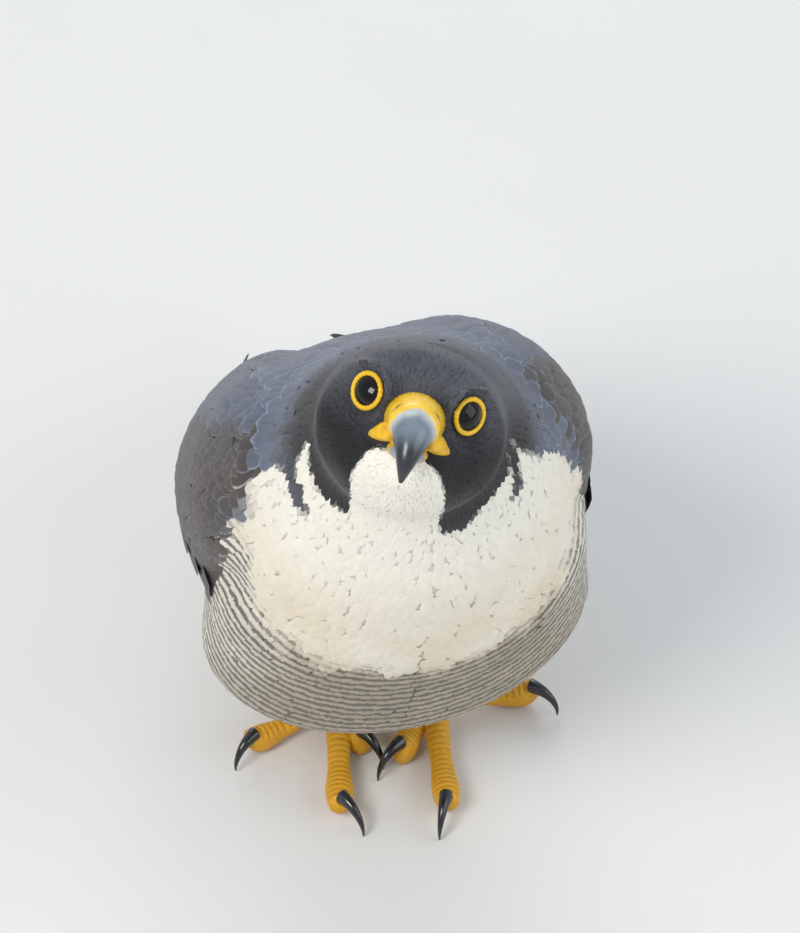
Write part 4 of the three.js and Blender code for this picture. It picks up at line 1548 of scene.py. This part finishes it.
    def region(self, p: Array) -> Array:
        """Sorts roots into regions.

        Args:
            p: the roots.

        Returns:
            Each root's region, as an index into Region.
        """
        q = to_head(p)
        t, angle, _ = self.body.at(p)
        on_head = head_round(q) < 1.2
        pale = self.markings.pale(q, t, angle, ripple(p, 17)) > 0.5
        names = list(Region)
        out = np.where(pale, names.index(Region.NECK), names.index(Region.NAPE))
        for region, where in {
            Region.BREAST: (t < 0.8) & pale,
            Region.BELLY: (t < 0.57) & pale,
            Region.MANTLE: (t < 0.8) & ~pale,
            Region.RUMP: (t < 0.42) & ~pale,
            Region.THIGHS: (p[:, 2] < 80) & pale,
            Region.THROAT: on_head & pale,
            Region.FACE: on_head & ~pale & (q[:, 2] <= 4),
            Region.CROWN: on_head & ~pale & (q[:, 2] > 4),
            Region.COVERTS: (self.wing.at(p)[0] > 0.5) & ~on_head,
        }.items():
            out[where] = names.index(region)
        return out

    def build(self, wardrobe: Wardrobe) -> None:
        """Grows every region's feathers and dresses the skin with the same markings.

        Args:
            wardrobe: the finishes.
        """
        rng = np.random.default_rng(SEED)
        roots, space, seat = self.roots(rng)
        regions = self.region(roots)
        for number, region in enumerate(Region):
            own, how = regions == number, region.value
            if not own.any():
                continue
            centres, across, out = self.trace(roots[own], space[own], how, rng)
            marks = self.markings.at(centres[:, how.rows // 2], rng.uniform(size=own.sum()))
            shift = rng.uniform(-0.1, 0.1, (own.sum(), 1, 1))
            row_run = np.stack([self.body.at(centres[:, r])[2] for r in range(how.rows)], 1)[:, :, None]
            slope = np.abs(np.linspace(-1, 1, how.columns))[None, None] * space[own][:, None, None] * 0.25
            marks.run = (row_run + slope) / self.markings.bar_pitch + shift
            vanes = Vanes(
                centres, across, out, how.half * space[own], marks, columns=how.columns, tip=how.tip,
                ragged=how.ragged, thick=0.03 * how.rows * space[own].mean() / 4, seat=seat[own],
            )
            present(vanes.build(f"feathers_{region.name.lower()}", rng), how.slot, wardrobe.get(how.finish))
        marks = self.markings.at(self.points, np.full(len(self.points), 0.5))
        set_attribute(self.skin, "Plume", "FLOAT_COLOR", colours(marks.plume * 0.85))
        set_attribute(self.skin, "Ink", "FLOAT_COLOR", colours(marks.ink))
        none = np.zeros(len(self.points))
        set_attribute(self.skin, "Marks", "FLOAT_VECTOR", np.stack([none, marks.bar, none], -1))
        set_attribute(self.skin, "Rim", "FLOAT", none)
        set_attribute(self.skin, "Run", "FLOAT", marks.run)
        set_uv(self.skin, "Vane", self.points[:, :2] * 0.5)
        nodes = ("torso", "neck", "head", "thigh_left", "thigh_right")
        present(self.skin, "body_feathers", wardrobe.get(Finish.BODY), *nodes)


# Wings and tail


@dataclass(frozen=True)
class Tier:
    """One tier of the folded wing's vanes, laid side by side from the lower edge to the upper one."""

    name: str
    count: int
    root: tuple
    tip: tuple
    across: tuple
    half: tuple
    lift: tuple
    colour: tuple
    edge: float
    rows: int = 12
    columns: int = 7
    point: float = 2.4
    drift: float = 0.35


TIERS = (
    Tier("primaries", 9, (0.5, 0.47), (0.995, 0.7), (0.86, 0.34, 0.62), (7.5, 9), (0.5, 1.3),
         ("2f2b2a", "38373a"), 0.45, 18, point=1.5),
    Tier("secondaries", 11, (0.42, 0.38), (0.62, 0.68), (0.88, 0.24), (8.5, 9.5), (0.6, 1.6),
         ("3a3534", "525864"), 0.7, 14),
    Tier("alula", 3, (0.2, 0.24), (0.42, 0.36), (0.95, 0.82), (6, 6), (2.8, 3.6),
         ("332e2d", "332e2d"), 0.5, 10, point=1.8),
    Tier("greater_coverts", 13, (0.27, 0.26), (0.44, 0.48), (0.9, 0.2), (7.5, 8), (1.2, 2.2),
         ("433d3c", "565c68"), 0.8, 10),
)


@dataclass
class Wing:
    """A folded wing: primaries, secondaries, alula and greater coverts on the wing's bed."""

    side: int
    name: str
    tiers: tuple[Tier, ...] = TIERS
    tilt: float = 0.1
    ink: str = "1f1c1c"

    def vanes(self, tier: Tier, rng: np.random.Generator) -> Vanes:
        """Lays a tier's vanes along the bed: the shares along and across run from root to tip, lifted on the way.

        Args:
            tier: the tier to lay.
            rng: where its small differences are drawn from.

        Returns:
            The tier's vanes.
        """
        s = np.linspace(0, 1, tier.count)[:, None]
        r = np.linspace(0, 1, tier.rows)[None]
        loose = rng.uniform(-0.012, 0.012, (tier.count, 1))
        t = mix(mix(tier.root[0], tier.root[1], s), mix(tier.tip[0], tier.tip[1], s) + loose, r)
        v0 = mix(tier.across[0], tier.across[1], s)
        goal = tier.across[2] if len(tier.across) > 2 else v0
        v = mix(v0, mix(v0, goal, tier.drift), r)
        angle = wing_angle(t, v)
        lift = mix(tier.lift[0], tier.lift[1], r) + rng.uniform(0, 0.15, (tier.count, 1))
        centres = WING_SPINE.skin(t, angle, lift)
        across = unit(WING_SPINE.skin(t, angle + 0.01, lift) - WING_SPINE.skin(t, angle - 0.01, lift))
        out = unit(np.cross(across, unit(np.gradient(centres, axis=1))))
        middle = WING_SPINE.frame(t)[0]
        out = np.where(((centres - middle) * out).sum(-1, keepdims=True) < 0, -out, out)
        flip = np.array([self.side, 1, 1])
        shade = mix(linear(tier.colour[0]), linear(tier.colour[1]), s)
        shade = shade * rng.uniform(0.86, 1.14, (tier.count, 1))
        marks = Marks(
            plume=shade, ink=np.broadcast_to(linear(self.ink), shade.shape), edge=np.full(tier.count, tier.edge),
            bar=np.zeros(tier.count), shaft=np.full(tier.count, 0.7), run=np.zeros(tier.count),
        )
        half = mix(tier.half[0], tier.half[1], s)[:, 0]
        return Vanes(
            lean(centres * flip), (across * flip) @ LEAN.T, (out * flip) @ LEAN.T, half, marks,
            columns=tier.columns, tip=tier.point, tilt=self.tilt, camber=0.05, ragged=0.02, thick=0.5, waist=0.55,
        )

    def build(self, wardrobe: Wardrobe) -> None:
        """Makes every tier as a piece.

        Args:
            wardrobe: the finishes.
        """
        rng = np.random.default_rng(SEED + self.side)
        for tier in self.tiers:
            obj = self.vanes(tier, rng).build(f"{tier.name}_{self.name}", rng)
            nodes = (f"wing_{self.name}",) if tier.name == "primaries" else ()
            present(obj, "flight_feathers", wardrobe.get(Finish.FLIGHT), *nodes)


@dataclass
class Tail:
    """Twelve tail feathers, barred across, with the middle pair on top."""

    pairs: int = 6
    half: float = 8.5
    spread: tuple = (1.2, 2.1)
    step: float = 1.15
    rows: int = 22
    columns: int = 9
    bar_pitch: float = 10.0
    plume: str = "5f6772"
    ink: str = "26262a"

    def build(self, wardrobe: Wardrobe) -> None:
        """Lays each pair a step lower than the one before, slightly shorter and further out.

        Args:
            wardrobe: the finishes.
        """
        rng = np.random.default_rng(SEED + 5)
        root, tip = np.array(TAIL_ROOT), np.array(TAIL_TIP)
        along = tip - root
        out = unit(-np.cross([1.0, 0, 0], along))
        k = np.repeat(np.arange(self.pairs), 2)[:, None]
        side = np.tile([1, -1], self.pairs)[:, None]
        r = np.linspace(0, 1, self.rows)[None]
        drop = np.where((k == 0) & (side == 1), 0, (k + 1) * self.step)
        x = side * mix(self.spread[0], self.spread[1], r) * (k + 0.5)
        centres = root + (r * (1 - 0.012 * k))[..., None] * along + out * (3 - drop * mix(0.6, 1, r))[..., None]
        centres = centres + x[..., None] * np.array([1.0, 0, 0])
        shape = centres.shape
        across = np.broadcast_to([1.0, 0, 0], shape) @ LEAN.T
        outs = np.broadcast_to(out, shape) @ LEAN.T
        n = len(k)
        shade = linear(self.plume) * rng.uniform(0.9, 1.1, (n, 1))
        run = (r * np.linalg.norm(along) / self.bar_pitch)[..., None]
        marks = Marks(
            plume=shade, ink=np.broadcast_to(linear(self.ink), shade.shape), edge=np.full(n, 0.35),
            bar=np.full(n, 0.8), shaft=np.full(n, 0.8), run=np.broadcast_to(run, (n, self.rows, self.columns)),
        )
        vanes = Vanes(
            lean(centres), across, outs, np.full(n, self.half), marks, columns=self.columns, tip=3.0, waist=0.6,
            camber=0.03, ragged=0.01, thick=0.5,
        )
        present(vanes.build("tail_feathers", rng), "flight_feathers", wardrobe.get(Finish.FLIGHT), "tail")


# Head


def gape_rings(side: int, lift: float = 0.0) -> Array:
    """The fleshy edge of the mouth on one side, from its corner under the eye to the cere.

    Args:
        side: 1 for the bird's left, -1 for its right.
        lift: how far the surface stands off.

    Returns:
        Rings of points in the head's frame.
    """
    path = np.array([(13.2, -20.5, -8.7), (11, -24.6, -8), (8, -28.6, -6.8), (5.4, -33, -5.6)]) * (side, 1, 1)
    sizes = np.array([(0.4, 0.35, 0.35), (1.6, 2.2, 1.1), (2.6, 4.6, 1.6), (1.6, 3.4, 1.0)])
    return bar(path, sizes, np.array([-1.0, 0, 0]), 40, 24, lift)


def cere_edge(q: Array) -> Array:
    """How far fore the waxy skin ends at places on the beak."""
    return CERE_FRONT - CERE_SLANT * (5 - q[..., 2]) + 0.4 * np.abs(q[..., 0])


def tube_piece(name: str, rings: Array, place: Callable[[Array], Array]) -> tuple[Object, Array]:
    """Makes a closed tube as a piece.

    Args:
        name: the piece's name.
        rings: its rings in its own frame.
        place: what takes points of that frame to the bird.

    Returns:
        The piece and its points in its own frame.
    """
    points, faces = tube_mesh(rings)
    return new_object(name, place(points), faces), points


def paint(obj: Object, colour: Array) -> None:
    """Stores a colour for each point of a piece."""
    set_attribute(obj, "Plume", "FLOAT_COLOR", colours(colour))


@dataclass
class Beak:
    """The bill with its hooked tip, the waxy cere with its nostrils, and the yellow corners of the mouth."""

    steps: int = 80
    sides: int = 64

    def upper(self) -> Array:
        """The upper half's rings, cut flat at the mouth behind the hook, with a tooth where the cut dips.

        Returns:
            Rings of points in the head's frame.
        """
        rings = sections(UPPER_BILL, self.steps, self.sides)
        hooked = ramp(-rings[..., 1], HOOK_FROM - 3.5, HOOK_FROM - 0.5)
        edge = MOUTH_Z + LIP_GAP - 1.1 * np.exp(-(((-rings[..., 1] - 35.5) / 1.6) ** 2))
        flat = np.maximum(rings[..., 2], edge)
        rings[..., 2] = mix(flat, rings[..., 2], hooked)
        return rings

    def build(self, wardrobe: Wardrobe) -> None:
        """Makes the upper half with its cere, the mouth's corners and the lower half.

        Args:
            wardrobe: the finishes.
        """
        rings = self.upper()
        fore = -rings[..., 1]
        line = cere_edge(rings)
        for side in (1, -1):
            hole = np.array(NOSTRIL_AT) * (side, 1, 1)
            near = np.linalg.norm(rings - hole, axis=-1)
            inward = np.array([-side * 0.85, 0.35, -0.4])
            rings = rings + inward * (1.5 * np.exp(-((near / 1.15) ** 4)))[..., None]
        horn_share = ramp(fore - line, -0.25, 0.25)
        swell = 0.95 * (1 - horn_share) * ramp(fore, 20, 24)
        rings = rings + unit(rings - rings.mean(1, keepdims=True)) * swell[..., None]
        obj, points = tube_piece("upper_bill_horn", rings, from_head)
        fore, z = -points[:, 1], points[:, 2]
        tip = ramp(fore * 0.6 - z, 24, 33)
        horn = mix(linear("b9c1c2"), linear("6f7c88"), ramp(fore - cere_edge(points), 0, 5)[:, None])
        horn = mix(horn, linear("2b2d33"), tip[:, None])
        wax = mix(linear("f3c414"), linear("ecbf2e"), ripple(points, 9)[:, None] * 0.5 + 0.5)
        dark = np.zeros(len(points))
        for side in (1, -1):
            near = np.linalg.norm(points - np.array(NOSTRIL_AT) * (side, 1, 1), axis=-1)
            dark = np.maximum(dark, 1 - ramp(near, 1.1, 1.9))
        wax = mix(wax, linear("2a2014"), dark[:, None])
        is_horn = ramp(fore - cere_edge(points), -0.1, 0.3)
        paint(obj, mix(wax, horn, is_horn[:, None]))
        present(obj, "bill", wardrobe.get(Finish.BILL), "upper_bill", "cere")
        for name, side in (("left", 1), ("right", -1)):
            obj, points = tube_piece(f"gape_{name}", gape_rings(side), from_head)
            paint(obj, mix(linear("f0bd12"), linear("dca51c"), ripple(points, 5)[:, None] * 0.5 + 0.5))
            present(obj, "yellow_skin", wardrobe.get(Finish.CERE))
        rings = sections(LOWER_BILL, 40, 40)
        rings[..., 2] = np.minimum(rings[..., 2], MOUTH_Z - LIP_GAP)
        obj, points = tube_piece("lower_bill_horn", rings, from_head)
        paint(obj, mix(linear("e9b920"), linear("8f9aa0"), ramp(-points[:, 1], 30.5, 33)[:, None]))
        present(obj, "bill", wardrobe.get(Finish.BILL), "lower_bill")


@dataclass
class Bristles:
    """Fine dark hairs that stand round the back of the cere, between it and the eyes."""

    count: int = 200
    length: tuple = (2.2, 4.6)
    thick: float = 0.09

    def build(self, wardrobe: Wardrobe) -> None:
        """Makes each hair as a slender spike: three root points about its foot and one at its tip.

        Args:
            wardrobe: the finishes.
        """
        rng = np.random.default_rng(SEED + 9)
        round_ = np.radians(rng.uniform(-125, 125, self.count))
        back = rng.uniform(-25.5, -21.5, self.count)
        foot = np.stack([9.3 * np.sin(round_), back, -1.5 + 8.2 * np.cos(round_)], -1)
        way = np.stack([0.9 * np.sin(round_), np.full(self.count, -0.75), 0.55 * np.cos(round_)], -1)
        way = unit(way + rng.normal(0, 0.22, way.shape))
        aside = unit(np.cross(way, [0.3, 0.2, 1.0]))
        other = np.cross(way, aside)
        turn = np.arange(3)[None, :, None] * 2 * np.pi / 3
        roots = foot[:, None] + self.thick * (aside[:, None] * np.cos(turn) + other[:, None] * np.sin(turn))
        tips = foot + way * rng.uniform(*self.length, (self.count, 1))
        points = np.concatenate([roots, tips[:, None]], 1).reshape(-1, 3)
        each = np.array([[0, 1, 3], [1, 2, 3], [2, 0, 3], [0, 2, 1]])
        faces = (each[None] + 4 * np.arange(self.count)[:, None, None]).reshape(-1, 3)
        obj = new_object("lore_bristles", from_head(points), faces, smooth=False)
        paint(obj, np.broadcast_to(linear("19191b"), points.shape))
        number = np.arange(len(points))
        set_uv(obj, "OFBake", np.stack([number % 4 / 4, number / len(points)], -1))
        present(obj, "hood_feathers", wardrobe.get(Finish.CLAW))


@dataclass
class Eye:
    """An eye: the wet ball with its iris and pupil, and the bare yellow ring of the lids."""

    side: int
    name: str

    def axes(self) -> tuple[Array, Array, Array]:
        """The eye's own directions.

        Returns:
            The way that it looks and two directions across it.
        """
        gaze = gaze_of(self.side)
        across = unit(np.cross(gaze, [0, 0, 1.0]))
        return gaze, across, np.cross(across, gaze)

    def build(self, wardrobe: Wardrobe) -> None:
        """Makes the ball and the lids."""
        self.ball(wardrobe)
        self.lids(wardrobe)

    def ball(self, wardrobe: Wardrobe) -> None:
        """Makes the ball as a sphere about the gaze, with a small bulge in front.

        Args:
            wardrobe: the finishes.
        """
        gaze, across, up = self.axes()
        sunk = math.sqrt(EYE_RADIUS**2 - (RING_RADIUS - RING_THICK / 2) ** 2)
        centre = np.array(EYE_AT) * (self.side, 1, 1) - gaze * sunk
        turn, round_ = around_and_along(np.linspace(0.02, np.pi - 0.02, 48), 64)
        radius = EYE_RADIUS - 0.05 + 0.25 * np.exp(-((turn / 0.55) ** 2))
        rings = centre + radius[..., None] * (
            gaze * np.cos(turn)[..., None]
            + (across * np.cos(round_)[..., None] + up * np.sin(round_)[..., None]) * np.sin(turn)[..., None]
        )
        obj, points = tube_piece(f"eyeball_{self.name}", rings, from_head)
        off = np.arccos(np.clip(unit(points - centre) @ gaze, -1, 1))
        iris = mix(linear("060505"), linear("170c08"), ramp(off, 0.4, 0.46)[:, None])
        iris = mix(iris, linear("120b09"), ramp(off, 0.62, 0.74)[:, None])
        paint(obj, iris)
        present(obj, "eye", wardrobe.get(Finish.EYE), f"eye_{self.name}")

    def lids(self, wardrobe: Wardrobe) -> None:
        """Makes the lids as a torus about the gaze, whose thickness ripples with sines of the angle.

        Args:
            wardrobe: the finishes.
        """
        gaze, across, up = self.axes()
        middle = np.array(EYE_AT) * (self.side, 1, 1)
        around, tube = around_and_along(np.linspace(0, 2 * np.pi, 96, endpoint=False), 20)
        thick = RING_THICK * (1 + 0.07 * np.sin(around * 22) * np.sin(tube * 2) + 0.05 * np.sin(around * 37 + 1))
        reach = RING_RADIUS + thick * 1.15 * np.cos(tube)
        ring = middle + (
            across * (reach * np.cos(around))[..., None] + up * (reach * np.sin(around))[..., None]
            + gaze * (thick * np.sin(tube))[..., None]
        )
        n, m = around.shape
        index = np.arange(n * m).reshape(n, m)
        following, beside = np.roll(index, -1, 0), np.roll(index, -1, 1)
        faces = np.stack([index, following, np.roll(following, -1, 1), beside], -1).reshape(-1, 4)
        flat = ring.reshape(-1, 3)
        normal = np.cross(flat[faces[0, 1]] - flat[faces[0, 0]], flat[faces[0, 3]] - flat[faces[0, 0]])
        if normal @ (flat[faces[0, 0]] - middle) < 0:
            faces = faces[:, ::-1]
        obj = new_object(f"eyelid_{self.name}", from_head(flat), faces)
        wax = mix(linear("efc21c"), linear("d9a417"), (np.sin(around * 22) * 0.5 + 0.5).reshape(-1, 1) * 0.5)
        paint(obj, wax)
        present(obj, "yellow_skin", wardrobe.get(Finish.CERE), f"eye_ring_{self.name}")


# Feet


@dataclass(frozen=True)
class ToeSize:
    """A toe's length, thickness share and claw radius."""

    length: float
    thick: float
    claw: float


TOE_SIZES = {
    "middle": ToeSize(50, 1, 9.4), "outer": ToeSize(37, 0.86, 8.6), "inner": ToeSize(28, 0.98, 9.6),
    "hind": ToeSize(23, 0.95, 9.8),
}
# Stations of a toe: share of its length, height, half width, up, down
TOE_STATIONS = np.array([
    (-0.02, 11.5, 5.6, 4.6, 5), (0.2, 9.4, 4.6, 4, 4.6), (0.42, 7.4, 4.1, 3.7, 5), (0.62, 6.6, 3.9, 3.6, 6.2),
    (0.84, 7.4, 4.9, 4.4, 8.7), (1, 9.4, 3.9, 3.3, 4.4),
])


@dataclass
class Foot:
    """A foot: the scaled shank, four toes with pads and scutes, and their claws.

    A heading is the toe's direction, the further turn of its claw, both in degrees, and the share of its length.
    """

    name: str
    side: int
    at: tuple[float, float]
    headings: dict[str, tuple[float, float, float]]
    top: str = "e2a61c"
    crease: str = "bd8413"
    # The darker, browner colour that the toes turn within 3 mm of the floor
    near_floor_tone: str = "b98a3c"

    def place(self, q: Array, heading: float) -> Array:
        """Turns points of a toe's own frame, with +X along it, to its heading and sets them at the foot."""
        return q @ turned(UP, heading - 90).T + np.array([self.at[0], self.at[1], 0]) + SHIFT

    def scutes(self, rings: Array, middle: Array, pitch: float, depth: float, up: Array) -> tuple[Array, Array]:
        """Raises plates on the upper side, between grooves, and ripples the lower one.

        The upper side sinks by depth * (1 - sin(pi * phase) ^ 0.5), where phase runs from 0 to 1 over a plate.

        Args:
            rings: the bare toe or shank.
            middle: its middle line, a point for each ring.
            pitch: a plate's length.
            depth: how deep the grooves are.
            up: the way that the plates face.

        Returns:
            The rings, and how far each point is in a groove, from 0 to 1.
        """
        far = np.concatenate([[0], np.cumsum(np.linalg.norm(np.diff(middle, axis=0), axis=1))])
        phase = (far / pitch) % 1.0
        plate = np.sin(np.pi * phase) ** 0.5
        way = unit(rings - middle[:, None])
        top = ramp(way @ up, 0.1, 0.6)
        round_ = np.arange(rings.shape[1]) * 2 * np.pi / rings.shape[1]
        low = (1 - top) * 0.25 * np.sin(far[:, None] * 2.6) * np.sin(round_ * 9)[None]
        high = depth * (plate[:, None] - 1) * top + depth * low
        groove = np.clip((1 - plate[:, None]) * top, 0, 1)
        return rings + way * high[..., None], groove

    def skin_shade(self, groove: Array) -> Array:
        """The skin's colour, darker in the grooves, for a closed tube's points."""
        return mix(linear(self.top), linear(self.crease), np.concatenate([groove.reshape(-1), [0, 0]])[:, None])

    def toe(self, name: str, wardrobe: Wardrobe) -> None:
        """Makes one toe.

        Args:
            name: the toe's name.
            wardrobe: the finishes.
        """
        heading, _, share = self.headings[name]
        size = TOE_SIZES[name]
        s = TOE_STATIONS
        path = np.stack([s[:, 0] * size.length * share, 0 * s[:, 0], s[:, 1]], -1)
        rings = bar(path, s[:, 2:] * size.thick, np.array([0, -1.0, 0]), 110, 28)
        middle = smooth_curve(path, np.linspace(0, 1, 111))
        rings, groove = self.scutes(rings, middle, 2.5, 0.5, UP)
        rings[..., 2] = np.maximum(rings[..., 2], FLOOR_GAP)
        obj, points = tube_piece(f"toe_skin_{name}_{self.name}", rings, lambda q: self.place(q, heading))
        # Within 3 mm of the floor each toe turns darker and browner, most at the floor, mixed up to 60% with that
        # colour
        under = 1 - ramp(points[:, 2], 0.5, 3)
        paint(obj, mix(self.skin_shade(groove), linear(self.near_floor_tone), under[:, None] * 0.6))
        present(obj, "foot_skin", wardrobe.get(Finish.FOOT), f"toe_{name}_{self.name}")

    def claw(self, name: str, wardrobe: Wardrobe) -> None:
        """Makes one claw: a tapering bar along an arc that turns from level to straight down.

        Args:
            name: the toe's name.
            wardrobe: the finishes.
        """
        heading, twist, share = self.headings[name]
        size = TOE_SIZES[name]
        length = size.length * share
        start, end, steps = math.radians(12), math.radians(-98), 30
        part = np.linspace(0, 1, steps + 1)
        angle = mix(start, end, part)
        stride = size.claw * (start - end) / steps
        way = np.stack([np.cos(angle), 0 * angle, np.sin(angle)], -1) * stride
        line = np.array([length - 1.5, 0, 10.6]) + np.concatenate([[[0, 0, 0]], np.cumsum(way[:-1], axis=0)])
        radius = mix(3.1, 0.35, part**0.85)
        claw = bar(line, np.stack([radius * 0.85, radius, radius], -1), np.array([0, -1.0, 0]), 40, 20)
        claw[..., 2] = np.maximum(claw[..., 2], 0.05)
        pivot = np.array([length - 3, 0, 0])
        claw = (claw - pivot) @ turned(UP, twist).T + pivot
        obj, points = tube_piece(f"claw_horn_{name}_{self.name}", claw, lambda q: self.place(q, heading))
        rooted = 1 - ramp(np.linalg.norm(points - points[0], axis=1), 2, 8)
        paint(obj, mix(linear("0c0d0f"), linear("2c2e33"), rooted[:, None]))
        present(obj, "claw", wardrobe.get(Finish.CLAW), f"claw_{name}_{self.name}")

    def shank(self, wardrobe: Wardrobe) -> None:
        """Makes the shank, from under the thigh's feathers to the ball of the foot.

        Args:
            wardrobe: the finishes.
        """
        x, y = self.at
        hip = np.array([x + self.side * 9, y + 28, 54.0])
        sole = np.array([x, y - 1, 9.0])
        shares = np.array([-0.1, -0.07, 0, 0.35, 0.75, 1, 1.1])[:, None]
        path = mix(hip, sole, shares)
        sizes = np.array([
            (1, 1, 1), (4.4, 4.2, 4.2), (6.2, 6, 6), (4.6, 4.4, 4.4), (5.2, 5, 5), (7.6, 7, 7), (6.5, 6, 6),
        ])
        rings = bar(path, sizes, np.array([1.0, 0, 0]), 100, 32)
        middle = smooth_curve(path, np.linspace(0, 1, 101))
        rings, groove = self.scutes(rings, middle, 2.8, 0.4, np.array([0, -1.0, 0.2]))
        rings[..., 2] = np.maximum(rings[..., 2], FLOOR_GAP)
        obj, _ = tube_piece(f"shank_skin_{self.name}", rings, lambda q: q + SHIFT)
        paint(obj, self.skin_shade(groove))
        present(obj, "foot_skin", wardrobe.get(Finish.FOOT), f"tarsus_{self.name}")

    def build(self, wardrobe: Wardrobe) -> None:
        """Makes the shank, the toes and the claws."""
        self.shank(wardrobe)
        for name in self.headings:
            self.toe(name, wardrobe)
            self.claw(name, wardrobe)


# Studio


@dataclass
class Studio:
    """A pale floor, soft light and the camera above the bird. The lights' places are in metres."""

    eye: tuple = (-216.2, -1270.0, 1532.0)
    aim: tuple = (24.1, 60.4, 55.7)
    focal: float = 216.85
    floor_half: float = 4000.0

    def area(self, name: str, place: tuple, size: float, power: float, tint: tuple) -> None:
        """A square soft light that looks at the bird.

        Args:
            name: the light's name.
            place: where it stands, in metres.
            size: its side, in metres.
            power: its watts.
            tint: its colour.
        """
        data = bpy.data.lights.new(name, "AREA")
        data.size, data.energy, data.color = size, power, tint
        lamp = bpy.data.objects.new(name, data)
        lamp.location = place
        lamp.rotation_euler = (Vector((0, -0.05, 0.15)) - Vector(place)).to_track_quat("-Z", "Y").to_euler()
        bpy.context.scene.collection.objects.link(lamp)

    def build(self) -> None:
        """Makes the floor, the sky, the lights and the camera."""
        bpy.context.scene.view_settings.view_transform = "Standard"
        self.floor()
        self.sky()
        self.area("key", (-1.0, -0.9, 1.6), 0.8, 24, (1.0, 0.98, 0.95))
        self.area("fill", (1.3, -0.8, 1.0), 1.4, 10, (0.92, 0.96, 1.0))
        self.area("rim", (0.2, 1.5, 1.2), 1.2, 12, (0.95, 0.98, 1.0))
        self.camera()

    def floor(self) -> None:
        """A wide flat floor of a pale, slightly clouded colour."""
        corners = np.array([(-1, -1, 0), (1, -1, 0), (1, 1, 0), (-1, 1, 0)]) * self.floor_half
        floor = new_object("floor", corners, np.array([[0, 1, 2, 3]]), smooth=False)
        material, g, shader = new_material("pale_floor")
        place = g.node("ShaderNodeTexCoord").outputs["Object"]
        cloud = g.node("ShaderNodeTexNoise", {"Vector": place, "Scale": 6.0, "Detail": 3.0})
        tint = g.blend(cloud.outputs[0], (0.66, 0.65, 0.63, 1), (0.72, 0.71, 0.69, 1))
        g.tree.links.new(tint, shader.inputs["Base Color"])
        shader.inputs["Roughness"].default_value = 0.9
        floor.data.materials.append(material)

    def sky(self) -> None:
        """An even, slightly blue light from all sides."""
        world = bpy.data.worlds.new("soft_sky")
        bpy.context.scene.world = world
        world.use_nodes = True
        sky = next(n for n in world.node_tree.nodes if n.type == "BACKGROUND")
        sky.inputs["Color"].default_value = (0.86, 0.92, 1.0, 1)
        sky.inputs["Strength"].default_value = 0.62

    def camera(self) -> None:
        """The camera, in front of the bird and above it, with a long lens."""
        scene = bpy.context.scene
        data = bpy.data.cameras.new("camera")
        data.sensor_fit, data.sensor_height, data.lens = "VERTICAL", 36.0, self.focal
        data.clip_start, data.clip_end = 0.05, 50
        camera = bpy.data.objects.new("camera", data)
        camera.location = Vector(self.eye) * MM
        camera.rotation_euler = (Vector(self.aim) - Vector(self.eye)).to_track_quat("-Z", "Y").to_euler()
        scene.collection.objects.link(camera)
        scene.camera = camera


def main() -> None:
    """Builds the bird over its solids, then the studio."""
    logging.basicConfig(level=logging.INFO, format="%(message)s")
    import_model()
    wardrobe = Wardrobe()
    body = BodyMap()
    wing = WingMap()
    skin = Skin().build()
    Coat(skin, body, wing, Markings(body, wing)).build(wardrobe)
    for name, side in (("left", 1), ("right", -1)):
        Wing(side, name).build(wardrobe)
        Eye(side, name).build(wardrobe)
    Tail().build(wardrobe)
    Beak().build(wardrobe)
    Bristles().build(wardrobe)
    right = {"middle": (-9, 38, 1), "outer": (-67, 20, 1), "inner": (14, 16, 0.76), "hind": (168, 0, 1)}
    left = {"middle": (-4, -18, 1), "outer": (84, -34, 1), "inner": (-34, -18, 1), "hind": (-155, 0, 1)}
    Foot("right", -1, (-9.5, 2.6), right).build(wardrobe)
    Foot("left", 1, (23.5, -2.6), left).build(wardrobe)
    Studio().build()


if __name__ == "__main__":
    main()
